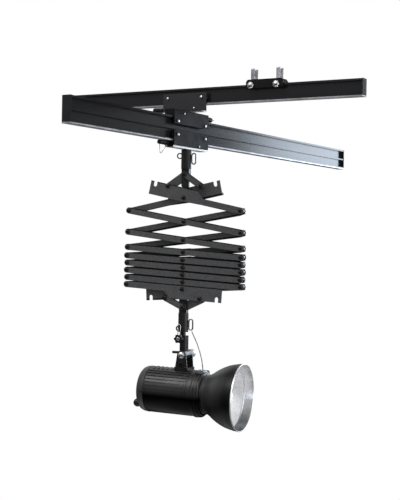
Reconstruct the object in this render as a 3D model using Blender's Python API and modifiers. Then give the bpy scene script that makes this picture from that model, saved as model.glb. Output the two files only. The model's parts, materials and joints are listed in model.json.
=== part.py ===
"""Ceiling rail system for a studio: crossed rails, a rolling trolley, a scissor pantograph and its light.

All sizes are in millimetres and turned into metres when a mesh is made. +Z is up.
The origin is the centre of the flat top of the ceiling saddle, the face that meets the ceiling.
The upper rail runs along X, the lower rail along Y.
"""
import math

import bmesh
import bpy
from mathutils import Matrix, Vector

MM = 0.001

# fits shared by every joint
GAP = 0.3
PIN_CLEARANCE = 0.3

# ceiling saddle, its studs and its set bolts
SADDLE_LENGTH = 106.0
SADDLE_TOP_THICKNESS = 12.2
SADDLE_CHEEK_THICKNESS = 5.2
SADDLE_LIP_THICKNESS = 5.0
SADDLE_LIP_REACH = 5.0
SADDLE_CORNER = 7.0
STUD_SPACING_X = 73.6
STUD_SPACING_Y = 19.0
CEILING_STUD_RADIUS = 5.0
CEILING_STUD_HEIGHT = 28.0
SET_BOLT_RADIUS = 4.0
SET_BOLT_HEAD_RADIUS = 9.0
SET_BOLT_HEAD_HEIGHT = 6.5
SET_BOLT_DROP = 15.5

# rails
FLANGE_WIDTH = 24.0
WEB_THICKNESS = 4.0
TOP_FLANGE = 5.0
BOTTOM_FLANGE = 6.0
END_STOP = 3.0
END_STOP_PROUD = 0.4
UPPER_RAIL_HEIGHT = 45.0
UPPER_RAIL_LEFT = 410.0
UPPER_RAIL_RIGHT = 512.0
LOWER_RAIL_HEIGHT = 65.5
LOWER_RAIL_NEAR = 546.0
LOWER_RAIL_FAR = 1044.0
MID_FLANGE = 4.0
MID_FLANGE_WIDTH = 22.0
MID_FLANGE_DROP = 30.7
SADDLE_FROM_CROSSING = 240.0

# carriages
PLATE_THICKNESS = 2.5
PLATE_CLEARANCE = 1.0
RAIL_RUN_CLEARANCE = 1.5
BAR_HALF_LENGTH_X = 67.0
BAR_HALF_LENGTH_Y = 90.0
UPPER_BAR_CUT_BACK = 16.0
UPPER_BAR_HEIGHT = 15.5
CROSS_BAR_HEIGHT = 17.2
TROLLEY_BLOCK_HEIGHT = 15.0
TROLLEY_BLOCK_PROUD = 5.0
UPPER_PLATE_TOP = 13.0
CROSS_PLATE_DROP = 19.9
TROLLEY_PLATE_TOP = 29.0
WHEEL_WIDTH = 8.0
WHEEL_WEB_CLEARANCE = 1.0
UPPER_WHEEL_RADIUS = 13.0
TROLLEY_WHEEL_RADIUS = 11.5
CROSS_ROLLER_RADIUS = 7.0
UPPER_AXLE_X = 52.5
CROSS_AXLE_Y = 72.0
AXLE_RADIUS = 4.0
AXLE_SHOULDER_RADIUS = 5.5
SCREW_HEAD_RADIUS = 4.6
SCREW_HEAD_HEIGHT = 2.6
SMALL_SCREW_RADIUS = 2.6
SMALL_SCREW_HEIGHT = 1.6
SMALL_SCREW_OFFSET_X = 30.0
SMALL_SCREW_OFFSET_Y = 40.0
CENTRE_BOLT_RADIUS = 5.0
CENTRE_BOLT_LENGTH = 12.0

# brakes
BRAKE_LENGTH = 31.0
BRAKE_STANDOFF = 8.0
TROLLEY_BRAKE_LENGTH = 44.0
BRAKE_STUB_RADIUS = 3.0
BRAKE_STUB_DEPTH = 6.0
UPPER_BRAKE_RADIUS = 7.0
TROLLEY_BRAKE_RADIUS = 5.8
BAIL_WIRE_RADIUS = 1.1
UPPER_BAIL_DROP = 26.0
TROLLEY_BAIL_DROP = 28.0
BAIL_INSET = 5.0
BAIL_TIP_HALF = 2.5
BRAKE_RING_INSET = 0.4
BRAKE_RING_SINK = 1.2

# hanging group: turned about the vertical through the crossing
HANG_TURN = 8.0

# sockets of the pantograph
SOCKET_RADIUS = 14.0
SOCKET_LENGTH = 51.0
SOCKET_STANDOFF = 1.0
STUD_RADIUS = 5.0
STUD_DEPTH = 30.0
SPIGOT_RADIUS = 7.0
SPIGOT_DEPTH = 32.0
FORK_DROP = 15.5
TONGUE_FRONT = 6.7
TONGUE_REAR = 0.4
REAR_EAR_THICKNESS = 4.0
FORK_RADIUS = 11.0
TONGUE_REACH = 36.0
TONGUE_TIP_HALF = 7.0
TONGUE_CORNER = 5.0
SAFETY_RING_RADIUS = 7.0
SAFETY_RING_WIRE = 1.8
TOP_RING_AT = (-19.2, 0.0)
TOP_RING_DROP = 16.0
BOTTOM_RING_AT = (-7.0, -15.0)
BOTTOM_RING_DROP = 9.5
LOCK_LOOP_HALF_WIDTH = 5.5
LOCK_LOOP_HALF_HEIGHT = 14.5
LOCK_LOOP_WIRE = 2.0
LOCK_SCREW_RADIUS = 3.0
LOCK_SCREW_DEPTH = 6.7
TOP_LOCK_DROP = 24.0
BOTTOM_LOCK_DROP = 20.0

# pantograph
ARM_HALF = 166.0
ARM_HEIGHT = 17.0
ARM_DEPTH = 11.0
ARM_WALL = 2.0
REAR_LIP = 1.9
REAR_LIP_INSET = 12.0
LAYER_GAP = 6.0
BOSS_RADIUS = 4.8
BOLT_HEAD_RADIUS = 4.6
BOLT_HEAD_HEIGHT = 2.8
STAGE_REST_ANGLES = (12.0, 10.1, 7.2, 4.0, 3.4, 3.4, 3.4, 3.4, 3.4)
RHOMB_SIDE = 57.0
RHOMB_OFFSET_ANGLE = 21.8
WIDE_TOP = 27.0
WIDE_BOTTOMS = ((10.5, 13.0), (10.5, 8.7))
WIDE_ENDS = (104.0, 115.0)
WIDE_TAPER_START = 54.0
WIDE_TAPER_END = 34.0
NOTCHES_AT = (90.0, 101.0)
NOTCH_RADIUS = 4.8
NOTCH_DEPTH = 14.5
FRONT_LINK_THICKNESS = 4.0
REAR_LINK_THICKNESS = 2.0
FRONT_LINK_RADIUS = 8.5
REAR_LINK_RADIUS = 12.0

# light and its tilt head
SPIGOT_FREE_LENGTH = 46.0
TILT_BELOW_SOCKET = 61.0
TILT_OFFSET = 6.0
HUB_RADIUS = 13.0
YOKE_INSIDE = 40.0
EAR_THICKNESS = 4.0
EAR_TOP_RADIUS = 13.0
EAR_FOOT_HALF = 17.0
YOKE_BASE_HALF_X = 20.0
YOKE_BASE_THICKNESS = 5.0
NECK_RADIUS = 12.0
NECK_OFFSET = 3.0
NECK_HEIGHT = 51.0
CLAMP_BOSS_RADIUS = 7.5
CLAMP_BOSS_REACH = 16.0
STAR_KNOB_RADIUS = 11.0
STAR_KNOB_LOBE = 3.0
STAR_KNOB_LOBES = 6
STAR_KNOB_THICKNESS = 9.0
STAR_KNOB_X = 4.0
STAR_KNOB_BELOW = 8.0
STAR_SCREW_RADIUS = 3.0
STAR_SCREW_FREE = 1.5
TILT_BOLT_RADIUS = 4.0
TILT_HEAD_RADIUS = 9.0
TILT_HEAD_HEIGHT = 6.0
TILT_KNOB_STEM = 14.0
TILT_KNOB_STEM_RADIUS = 5.0
TILT_KNOB_RADIUS = 10.0
TILT_KNOB_THICKNESS = 12.0
HUB_LEVER_LENGTH = 30.0
HUB_LEVER_RADIUS = 3.5
LIGHT_TILT = 2.0
LIGHT_AXIS_DROP = 101.0
HOUSING_RADIUS = 62.5
HOUSING_REAR = 110.0
REAR_CAP_LENGTH = 8.0
REAR_CAP_RADIUS = 52.0
REAR_KNOB_RADIUS = 11.0
REAR_KNOB_END = 136.0
REAR_KNOB_DROP = 42.0
HOUSING_FRONT = 49.0
COLLAR_RADIUS = 64.0
COLLAR_FRONT = 72.0
NECK_FRONT = 77.0
LIGHT_NECK_RADIUS = 52.0
FRONT_RING_RADIUS = 46.0
FRONT_RING_LENGTH = 11.0
REFLECTOR_WALL = 2.0
REFLECTOR_RADIUS = 90.0
REFLECTOR_FRONT = 177.0
REFLECTOR_LIP = 3.0
REFLECTOR_CURVE = ((6.0, 1.0), (18.0, 7.5), (28.0, 15.0), (39.0, 21.8), (51.0, 27.7), (64.0, 32.6),
                   (80.0, 36.3))
DOME_RADIUS = 17.0
DOME_LENGTH = 46.0

# safety cable: its route in the hanging group, chosen by hand, measured from the tilt axis
CABLE_RADIUS = 1.5
CABLE_ROUTE = ((19.0, 63.2), (26.0, 49.0), (33.5, 34.5), (40.0, 18.5), (45.5, 2.0), (50.0, -15.0),
               (53.5, -29.0))
CABLE_POINTS = 24

# levels of the rails and carriages, worked out from the sizes above
UPPER_RAIL_TOP = -SADDLE_TOP_THICKNESS - GAP
UPPER_RAIL_BOTTOM = UPPER_RAIL_TOP - UPPER_RAIL_HEIGHT
UPPER_BAR_TOP = UPPER_RAIL_BOTTOM - RAIL_RUN_CLEARANCE
UPPER_BAR_BOTTOM = UPPER_BAR_TOP - UPPER_BAR_HEIGHT
CROSS_BAR_TOP = UPPER_BAR_BOTTOM - GAP
CROSS_BAR_BOTTOM = CROSS_BAR_TOP - CROSS_BAR_HEIGHT
LOWER_RAIL_TOP = CROSS_BAR_BOTTOM - RAIL_RUN_CLEARANCE
LOWER_RAIL_BOTTOM = LOWER_RAIL_TOP - LOWER_RAIL_HEIGHT
TROLLEY_BLOCK_TOP = LOWER_RAIL_BOTTOM - RAIL_RUN_CLEARANCE
TROLLEY_BLOCK_BOTTOM = TROLLEY_BLOCK_TOP - TROLLEY_BLOCK_HEIGHT
UPPER_AXLE_Z = UPPER_RAIL_BOTTOM + BOTTOM_FLANGE + GAP + UPPER_WHEEL_RADIUS
CROSS_AXLE_Z = LOWER_RAIL_TOP - TOP_FLANGE - GAP - CROSS_ROLLER_RADIUS
TROLLEY_AXLE_Z = LOWER_RAIL_BOTTOM + BOTTOM_FLANGE + GAP + TROLLEY_WHEEL_RADIUS
PLATE_INSIDE = FLANGE_WIDTH / 2 + PLATE_CLEARANCE
PLATE_OUTSIDE = PLATE_INSIDE + PLATE_THICKNESS
WHEEL_INSIDE = WEB_THICKNESS / 2 + WHEEL_WEB_CLEARANCE
WHEEL_OUTSIDE = WHEEL_INSIDE + WHEEL_WIDTH
CROSSING_X = -SADDLE_FROM_CROSSING

# levels of the hanging group
TOP_SOCKET_TOP = TROLLEY_BLOCK_BOTTOM - SOCKET_STANDOFF
TOP_PIVOT_Z = TOP_SOCKET_TOP - SOCKET_LENGTH - FORK_DROP
LAYER_INSIDE = LAYER_GAP / 2
LAYER_OUTSIDE = LAYER_INSIDE + ARM_DEPTH
TOP_RHOMB_ANGLE = STAGE_REST_ANGLES[0] + RHOMB_OFFSET_ANGLE
BOTTOM_RHOMB_ANGLE = STAGE_REST_ANGLES[-1] + RHOMB_OFFSET_ANGLE
STAGES = len(STAGE_REST_ANGLES)


def rad(degrees):
    return math.radians(degrees)


def stage_centres():
    """Centre of each stage's two arms, as (x of the chain that starts on the left link, z)."""
    x = 0.0
    z = TOP_PIVOT_Z - 2 * RHOMB_SIDE * math.sin(rad(TOP_RHOMB_ANGLE))
    centres = [(x, z)]
    side = 1
    for upper, lower in zip(STAGE_REST_ANGLES, STAGE_REST_ANGLES[1:]):
        x += side * ARM_HALF * (math.cos(rad(upper)) - math.cos(rad(lower)))
        z -= ARM_HALF * (math.sin(rad(upper)) + math.sin(rad(lower)))
        centres.append((x, z))
        side = -side
    return centres


CENTRES = stage_centres()
BOTTOM_PIVOT_X = CENTRES[-1][0]
BOTTOM_PIVOT_Z = CENTRES[-1][1] - 2 * RHOMB_SIDE * math.sin(rad(BOTTOM_RHOMB_ANGLE))
BOTTOM_SOCKET_TOP = BOTTOM_PIVOT_Z - FORK_DROP
BOTTOM_SOCKET_BOTTOM = BOTTOM_SOCKET_TOP - SOCKET_LENGTH
TILT_AXIS_Z = BOTTOM_SOCKET_BOTTOM - TILT_BELOW_SOCKET

MATERIALS = {
    "black_rail": ((0.035, 0.035, 0.038), 0.45, 0.6),
    "black_steel": ((0.045, 0.045, 0.048), 0.55, 0.2),
    "arm_grey": ((0.07, 0.07, 0.074), 0.6, 0.2),
    "bare_aluminium": ((0.78, 0.78, 0.8), 0.35, 1.0),
    "bright_steel": ((0.7, 0.7, 0.7), 0.2, 1.0),
    "black_plastic": ((0.02, 0.02, 0.02), 0.4, 0.0),
    "nylon": ((0.75, 0.74, 0.7), 0.5, 0.0),
    "housing_black": ((0.025, 0.025, 0.027), 0.4, 0.1),
    "glass": ((0.95, 0.95, 0.93), 0.05, 0.0),
}


def make_material(name):
    colour, roughness, metallic = MATERIALS[name]
    material = bpy.data.materials.get(name) or bpy.data.materials.new(name)
    material.use_nodes = True
    shader = material.node_tree.nodes["Principled BSDF"]
    shader.inputs["Base Color"].default_value = (*colour, 1.0)
    shader.inputs["Roughness"].default_value = roughness
    shader.inputs["Metallic"].default_value = metallic
    return material


def clear_scene():
    for item in list(bpy.data.objects):
        bpy.data.objects.remove(item)


def make_collection(name):
    collection = bpy.data.collections.new(name)
    bpy.context.scene.collection.children.link(collection)
    return collection


def box_mesh(low, high):
    """A box between two corners given in millimetres."""
    bm = bmesh.new()
    size = [(b - a) * MM for a, b in zip(low, high)]
    centre = Vector([(a + b) / 2 * MM for a, b in zip(low, high)])
    bmesh.ops.create_cube(bm, size=1.0, matrix=Matrix.Translation(centre) @ Matrix.Diagonal((*size, 1.0)))
    return bm


def rod_mesh(start, end, radius, segments=16, end_radius=None):
    """A cylinder or cone between two points given in millimetres."""
    bm = bmesh.new()
    a, b = Vector(start) * MM, Vector(end) * MM
    turn = (b - a).to_track_quat("Z", "Y").to_matrix().to_4x4()
    place = Matrix.Translation((a + b) / 2) @ turn
    far = radius if end_radius is None else end_radius
    bmesh.ops.create_cone(bm, cap_ends=True, segments=segments, radius1=radius * MM, radius2=far * MM,
                          depth=(b - a).length, matrix=place)
    return bm


def outline_mesh(outline, low, high, across="Y"):
    """A flat outline made thick from low to high along one axis.

    Its points are (x, z) when it lies across Y, (y, z) across X and (x, y) across Z.
    """
    curve = bpy.data.curves.new("outline", "CURVE")
    curve.dimensions = "2D"
    curve.fill_mode = "BOTH"
    curve.extrude = (high - low) / 2 * MM
    spline = curve.splines.new("POLY")
    spline.points.add(len(outline) - 1)
    for point, (u, v) in zip(spline.points, outline):
        point.co = (u * MM, v * MM, 0.0, 1.0)
    spline.use_cyclic_u = True
    holder = bpy.data.objects.new("outline", curve)
    bpy.context.scene.collection.objects.link(holder)
    mesh = evaluated_mesh(holder)
    bpy.data.objects.remove(holder)
    bm = bmesh.new()
    bm.from_mesh(mesh)
    bmesh.ops.remove_doubles(bm, verts=bm.verts, dist=0.00001)
    middle = (low + high) / 2 * MM
    quarter = Matrix.Rotation(rad(90), 4, "X")
    turns = {"Y": Matrix.Translation((0, middle, 0)) @ quarter,
             "X": Matrix.Translation((middle, 0, 0)) @ Matrix.Rotation(rad(90), 4, "Z") @ quarter,
             "Z": Matrix.Translation((0, 0, middle))}
    bm.transform(turns[across])
    bmesh.ops.recalc_face_normals(bm, faces=bm.faces)
    return bm


def wire_mesh(points, radius, closed=False, resolution=1):
    """A round wire along points given in millimetres."""
    curve = bpy.data.curves.new("wire", "CURVE")
    curve.dimensions = "3D"
    curve.bevel_depth = radius * MM
    curve.bevel_resolution = resolution
    curve.use_fill_caps = not closed
    spline = curve.splines.new("POLY")
    spline.points.add(len(points) - 1)
    for point, place in zip(spline.points, points):
        point.co = (*(Vector(place) * MM), 1.0)
    spline.use_cyclic_u = closed
    holder = bpy.data.objects.new("wire", curve)
    bpy.context.scene.collection.objects.link(holder)
    mesh = evaluated_mesh(holder)
    bpy.data.objects.remove(holder)
    bm = bmesh.new()
    bm.from_mesh(mesh)
    bmesh.ops.remove_doubles(bm, verts=bm.verts, dist=0.00001)
    bmesh.ops.recalc_face_normals(bm, faces=bm.faces)
    return bm


def turned_mesh(profile, steps=32, closed=False):
    """A shape turned about X from (x, radius) points; an open profile ends on the axis."""
    mesh = bpy.data.meshes.new("profile")
    count = len(profile)
    edges = [(i, i + 1) for i in range(count - 1)]
    if closed:
        edges.append((count - 1, 0))
    mesh.from_pydata([(r * MM, 0.0, x * MM) for x, r in profile], edges, [])
    holder = bpy.data.objects.new("profile", mesh)
    bpy.context.scene.collection.objects.link(holder)
    screw = holder.modifiers.new("turn", "SCREW")
    screw.axis = "Z"
    screw.steps = steps
    screw.render_steps = steps
    screw.use_merge_vertices = True
    screw.merge_threshold = 0.00001
    turned = evaluated_mesh(holder)
    bpy.data.objects.remove(holder)
    bm = bmesh.new()
    bm.from_mesh(turned)
    bmesh.ops.remove_doubles(bm, verts=bm.verts, dist=0.00001)
    bm.transform(Matrix.Rotation(rad(90), 4, "Y"))
    bmesh.ops.recalc_face_normals(bm, faces=bm.faces)
    return bm


def evaluated_mesh(item):
    bpy.context.view_layer.update()
    graph = bpy.context.evaluated_depsgraph_get()
    return bpy.data.meshes.new_from_object(item.evaluated_get(graph))


def mesh_object(name, bm, collection, material=None):
    mesh = bpy.data.meshes.new(name)
    bm.to_mesh(mesh)
    bm.free()
    item = bpy.data.objects.new(name, mesh)
    collection.objects.link(item)
    if material:
        mesh.materials.append(make_material(material))
    return item


class Workshop:
    """Holds the two collections and builds each part from its shapes."""

    def __init__(self):
        self.parts = make_collection("ceiling_rail_system")
        self.cutters = make_collection("cutters")

    def tool(self, name, bm, parent=None):
        item = mesh_object(name, bm, self.cutters)
        item.hide_render = True
        item.display_type = "WIRE"
        item.parent = parent
        return item

    def shape(self, name, base, material, add=(), cut=(), parent=None):
        """A part: its base mesh, then cuts, then what is joined to it."""
        item = mesh_object(name, base, self.parts, material)
        item.parent = parent
        steps = [("DIFFERENCE", bm) for bm in cut] + [("UNION", bm) for bm in add]
        for number, (operation, bm) in enumerate(steps):
            modifier = item.modifiers.new(operation.lower() + str(number), "BOOLEAN")
            modifier.operation = operation
            modifier.solver = "EXACT"
            modifier.object = self.tool(name + "_tool_" + str(number), bm, parent)
        smooth(item)
        return item

    def mesh_of(self, name, base, add=(), cut=()):
        """The finished mesh of a part that several objects share, about its own origin."""
        item = self.shape(name, base, None, add, cut)
        mesh = evaluated_mesh(item)
        tools = [modifier.object for modifier in item.modifiers]
        bpy.data.objects.remove(item)
        for tool in tools:
            bpy.data.objects.remove(tool)
        mesh.name = name
        mesh.materials.clear()
        return mesh

    def place(self, name, mesh, material, location, turn=None, parent=None):
        """An object of its own that shares a mesh, at a place in millimetres."""
        item = bpy.data.objects.new(name, mesh)
        self.parts.objects.link(item)
        if not mesh.materials:
            mesh.materials.append(make_material(material))
        item.parent = parent
        item.location = Vector(location) * MM
        if turn:
            item.rotation_euler = turn
        return item


def smooth(item):
    item.data.shade_smooth()
    item.data.set_sharp_from_angle(angle=rad(35))


def arc(x, z, radius, start, end, steps):
    """Points on an arc from start to end degrees."""
    angles = [rad(start + (end - start) * i / steps) for i in range(steps + 1)]
    return [(x + radius * math.cos(a), z + radius * math.sin(a)) for a in angles]


def stadium(x1, z1, x2, z2, radius, steps=6):
    """A bar outline with round ends about two points."""
    lean = math.degrees(math.atan2(z2 - z1, x2 - x1))
    far_end = arc(x2, z2, radius, lean - 90, lean + 90, steps)
    return far_end + arc(x1, z1, radius, lean + 90, lean + 270, steps)


def beam_outline(height, flanges):
    """Half of a rail's section as steps of (half width, z), then its mirror image."""
    right = []
    for top, bottom, half in flanges:
        right += [(WEB_THICKNESS / 2, top), (half, top), (half, bottom), (WEB_THICKNESS / 2, bottom)]
    right = right[1:-1]
    left = [(-half, z) for half, z in reversed(right)]
    assert abs(right[0][1] - right[-1][1] - height) < 0.001
    return right + left


def upper_rail(shop):
    half = FLANGE_WIDTH / 2
    flanges = ((UPPER_RAIL_TOP, UPPER_RAIL_TOP - TOP_FLANGE, half),
               (UPPER_RAIL_BOTTOM + BOTTOM_FLANGE, UPPER_RAIL_BOTTOM, half))
    section = beam_outline(UPPER_RAIL_HEIGHT, flanges)
    left, right = CROSSING_X - UPPER_RAIL_LEFT, CROSSING_X + UPPER_RAIL_RIGHT
    body = outline_mesh(section, left + END_STOP / 2, right - END_STOP / 2, across="X")
    edge = half + END_STOP_PROUD
    bottom, top = UPPER_RAIL_BOTTOM - END_STOP_PROUD, UPPER_RAIL_TOP + END_STOP_PROUD
    stops = [box_mesh((x, -edge, bottom), (x + END_STOP, edge, top)) for x in (left, right - END_STOP)]
    shop.shape("upper_rail", body, "black_rail", add=stops)


def lower_rail(shop):
    half = FLANGE_WIDTH / 2
    mid = LOWER_RAIL_TOP - MID_FLANGE_DROP
    flanges = ((LOWER_RAIL_TOP, LOWER_RAIL_TOP - TOP_FLANGE, half),
               (mid, mid - MID_FLANGE, MID_FLANGE_WIDTH / 2),
               (LOWER_RAIL_BOTTOM + BOTTOM_FLANGE, LOWER_RAIL_BOTTOM, half))
    section = [(CROSSING_X + x, z) for x, z in beam_outline(LOWER_RAIL_HEIGHT, flanges)]
    body = outline_mesh(section, -LOWER_RAIL_NEAR + END_STOP / 2, LOWER_RAIL_FAR - END_STOP / 2)
    edge = half + END_STOP_PROUD
    bottom, top = LOWER_RAIL_BOTTOM - END_STOP_PROUD, LOWER_RAIL_TOP + END_STOP_PROUD
    stops = [box_mesh((CROSSING_X - edge, y, bottom), (CROSSING_X + edge, y + END_STOP, top))
             for y in (-LOWER_RAIL_NEAR, LOWER_RAIL_FAR - END_STOP)]
    shop.shape("lower_rail", body, "black_rail", add=stops)


def ceiling_saddle(shop):
    inside = FLANGE_WIDTH / 2 + GAP
    outside = inside + SADDLE_CHEEK_THICKNESS
    lip_top = UPPER_RAIL_TOP - TOP_FLANGE - GAP
    lip_bottom = lip_top - SADDLE_LIP_THICKNESS
    lip_inside = inside - SADDLE_LIP_REACH
    half = [(outside, 0.0), (outside, lip_bottom), (lip_inside, lip_bottom), (lip_inside, lip_top),
            (inside, lip_top), (inside, -SADDLE_TOP_THICKNESS)]
    section = half + [(-y, z) for y, z in reversed(half)]
    body = outline_mesh(section, -SADDLE_LENGTH / 2, SADDLE_LENGTH / 2, across="X")
    ends = [edge for edge in body.edges if is_top_end(edge)]
    bmesh.ops.bevel(body, geom=ends, offset=SADDLE_CORNER * MM, segments=4, affect="EDGES", profile=0.5)
    studs = []
    holes = []
    for x in (-STUD_SPACING_X / 2, STUD_SPACING_X / 2):
        for y in (-STUD_SPACING_Y / 2, STUD_SPACING_Y / 2):
            studs.append(rod_mesh((x, y, -1.0), (x, y, CEILING_STUD_HEIGHT), CEILING_STUD_RADIUS))
        holes.append(rod_mesh((x, -inside + 1, -SET_BOLT_DROP), (x, -outside - 1, -SET_BOLT_DROP),
                              SET_BOLT_RADIUS + PIN_CLEARANCE))
    shop.shape("ceiling_saddle", body, "black_steel", cut=holes, add=studs)


def is_top_end(edge):
    """True for the two edges across the saddle at the ends of its top face."""
    a, b = edge.verts
    across = abs(a.co.x - b.co.x) < 1e-6 and abs(a.co.y - b.co.y) > 1e-6
    at_end = abs(abs(a.co.x) - SADDLE_LENGTH / 2 * MM) < 1e-6
    return across and at_end and a.co.z > -1e-6 and b.co.z > -1e-6


def set_bolt(shop, name, x):
    """A hex bolt through the saddle's front cheek, up against the rail's top flange."""
    tip = -FLANGE_WIDTH / 2 - GAP
    face = tip - SADDLE_CHEEK_THICKNESS - GAP
    shank = rod_mesh((x, face - 1, -SET_BOLT_DROP), (x, tip, -SET_BOLT_DROP), SET_BOLT_RADIUS)
    head = rod_mesh((x, face - SET_BOLT_HEAD_HEIGHT, -SET_BOLT_DROP), (x, face, -SET_BOLT_DROP),
                    SET_BOLT_HEAD_RADIUS, 6)
    shop.shape(name, shank, "bright_steel", add=[head])


def along(axis, u, v, z):
    """A point from a carriage's own directions: u along its rail, v across it, z up."""
    if axis == "X":
        return (CROSSING_X + u, v, z)
    return (CROSSING_X - v, u, z)


def span(axis, low, high):
    """A box between two (u, v, z) corners of a carriage."""
    a, b = along(axis, *low), along(axis, *high)
    return box_mesh([min(p, q) for p, q in zip(a, b)], [max(p, q) for p, q in zip(a, b)])


def carriage_plate(shop, name, axis, side, half_length, top, bottom, axles, roller, small_screw, cut=()):
    """A side plate with its axles, their shoulders and screw heads; side is -1 or 1 across the rail.

    What it is cut by leaves its axles and screws as they are.
    """
    axle_u, axle_z = axles
    plate = span(axis, (-half_length, side * PLATE_INSIDE, bottom), (half_length, side * PLATE_OUTSIDE, top))
    overlap = 0.5
    inner = side * (PLATE_INSIDE + overlap)
    outer = side * (PLATE_OUTSIDE - overlap)
    head = side * (PLATE_OUTSIDE + SCREW_HEAD_HEIGHT)
    joined = []
    for u in (-axle_u, axle_u):
        axle_end = side * (WHEEL_INSIDE + GAP)
        start = along(axis, u, inner, axle_z)
        joined.append(rod_mesh(start, along(axis, u, axle_end, axle_z), AXLE_RADIUS, 12))
        shoulder_end = side * (WHEEL_OUTSIDE + GAP)
        joined.append(rod_mesh(start, along(axis, u, shoulder_end, axle_z), AXLE_SHOULDER_RADIUS, 12))
        joined.append(rod_mesh(along(axis, u, outer, axle_z), along(axis, u, head, axle_z),
                               SCREW_HEAD_RADIUS, 12))
        if roller:
            joined.append(rod_mesh(along(axis, u, side * WHEEL_OUTSIDE, axle_z),
                                   along(axis, u, side * WHEEL_INSIDE, axle_z), roller, 16))
    small_u, small_z = small_screw
    small_head = side * (PLATE_OUTSIDE + SMALL_SCREW_HEIGHT)
    joined.append(rod_mesh(along(axis, small_u, outer, small_z), along(axis, small_u, small_head, small_z),
                           SMALL_SCREW_RADIUS, 8))
    return shop.shape(name, plate, "black_steel", add=joined, cut=cut)


def wheels(shop, prefix, axis, radius, axle_u, axle_z):
    """Four wheels, each an object of its own with its origin on its axle."""
    blank = rod_mesh((0, -WHEEL_WIDTH / 2, 0), (0, WHEEL_WIDTH / 2, 0), radius, 20)
    bore = rod_mesh((0, -WHEEL_WIDTH, 0), (0, WHEEL_WIDTH, 0), AXLE_RADIUS + PIN_CLEARANCE, 12)
    mesh = shop.mesh_of(prefix, blank, cut=[bore])
    turn = None if axis == "X" else (0.0, 0.0, rad(90))
    middle = (WHEEL_INSIDE + WHEEL_OUTSIDE) / 2
    places = ((-axle_u, -middle), (axle_u, -middle), (-axle_u, middle), (axle_u, middle))
    for number, (u, v) in enumerate(places):
        shop.place(prefix + "_" + str(number + 1), mesh, "nylon", along(axis, u, v, axle_z), turn)


def brake(shop, name, axis, direction, bar_end, z, radius, length, bail_drop):
    """A turning brake barrel on the end of a bar, with its stub in the bar and its wire bail."""
    start = bar_end + BRAKE_STANDOFF
    end = start + length
    barrel = rod_mesh(along(axis, direction * start, 0, z), along(axis, direction * end, 0, z), radius, 20)
    stub = rod_mesh(along(axis, direction * (bar_end - BRAKE_STUB_DEPTH), 0, z),
                    along(axis, direction * (start + 1), 0, z), BRAKE_STUB_RADIUS, 12)
    joined = [stub]
    if bail_drop:
        low = z - bail_drop
        near, far = start + BAIL_INSET, end - BAIL_INSET
        tip = far - 2 * BAIL_TIP_HALF
        corners = ((near, z), (near, z - radius - 2), (tip - BAIL_TIP_HALF, low), (tip + BAIL_TIP_HALF, low),
                   (far, z - radius - 2), (far, z))
        joined.append(wire_mesh([along(axis, direction * u, 0, w) for u, w in corners], BAIL_WIRE_RADIUS))
    else:
        ring = radius - BAIL_WIRE_RADIUS - BRAKE_RING_INSET
        middle = end + ring - BRAKE_RING_SINK
        loop = [along(axis, direction * (middle + ring * math.cos(rad(a))), ring * math.sin(rad(a)), z)
                for a in range(0, 360, 30)]
        joined.append(wire_mesh(loop, BAIL_WIRE_RADIUS, closed=True))
    return shop.shape(name, barrel, "black_steel", add=joined)


def brake_hole(axis, direction, bar_end, z):
    """The bore in a bar's end for the stub of its brake."""
    return rod_mesh(along(axis, direction * (bar_end - BRAKE_STUB_DEPTH - GAP), 0, z),
                    along(axis, direction * (bar_end + 2), 0, z), BRAKE_STUB_RADIUS + PIN_CLEARANCE, 12)


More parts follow.
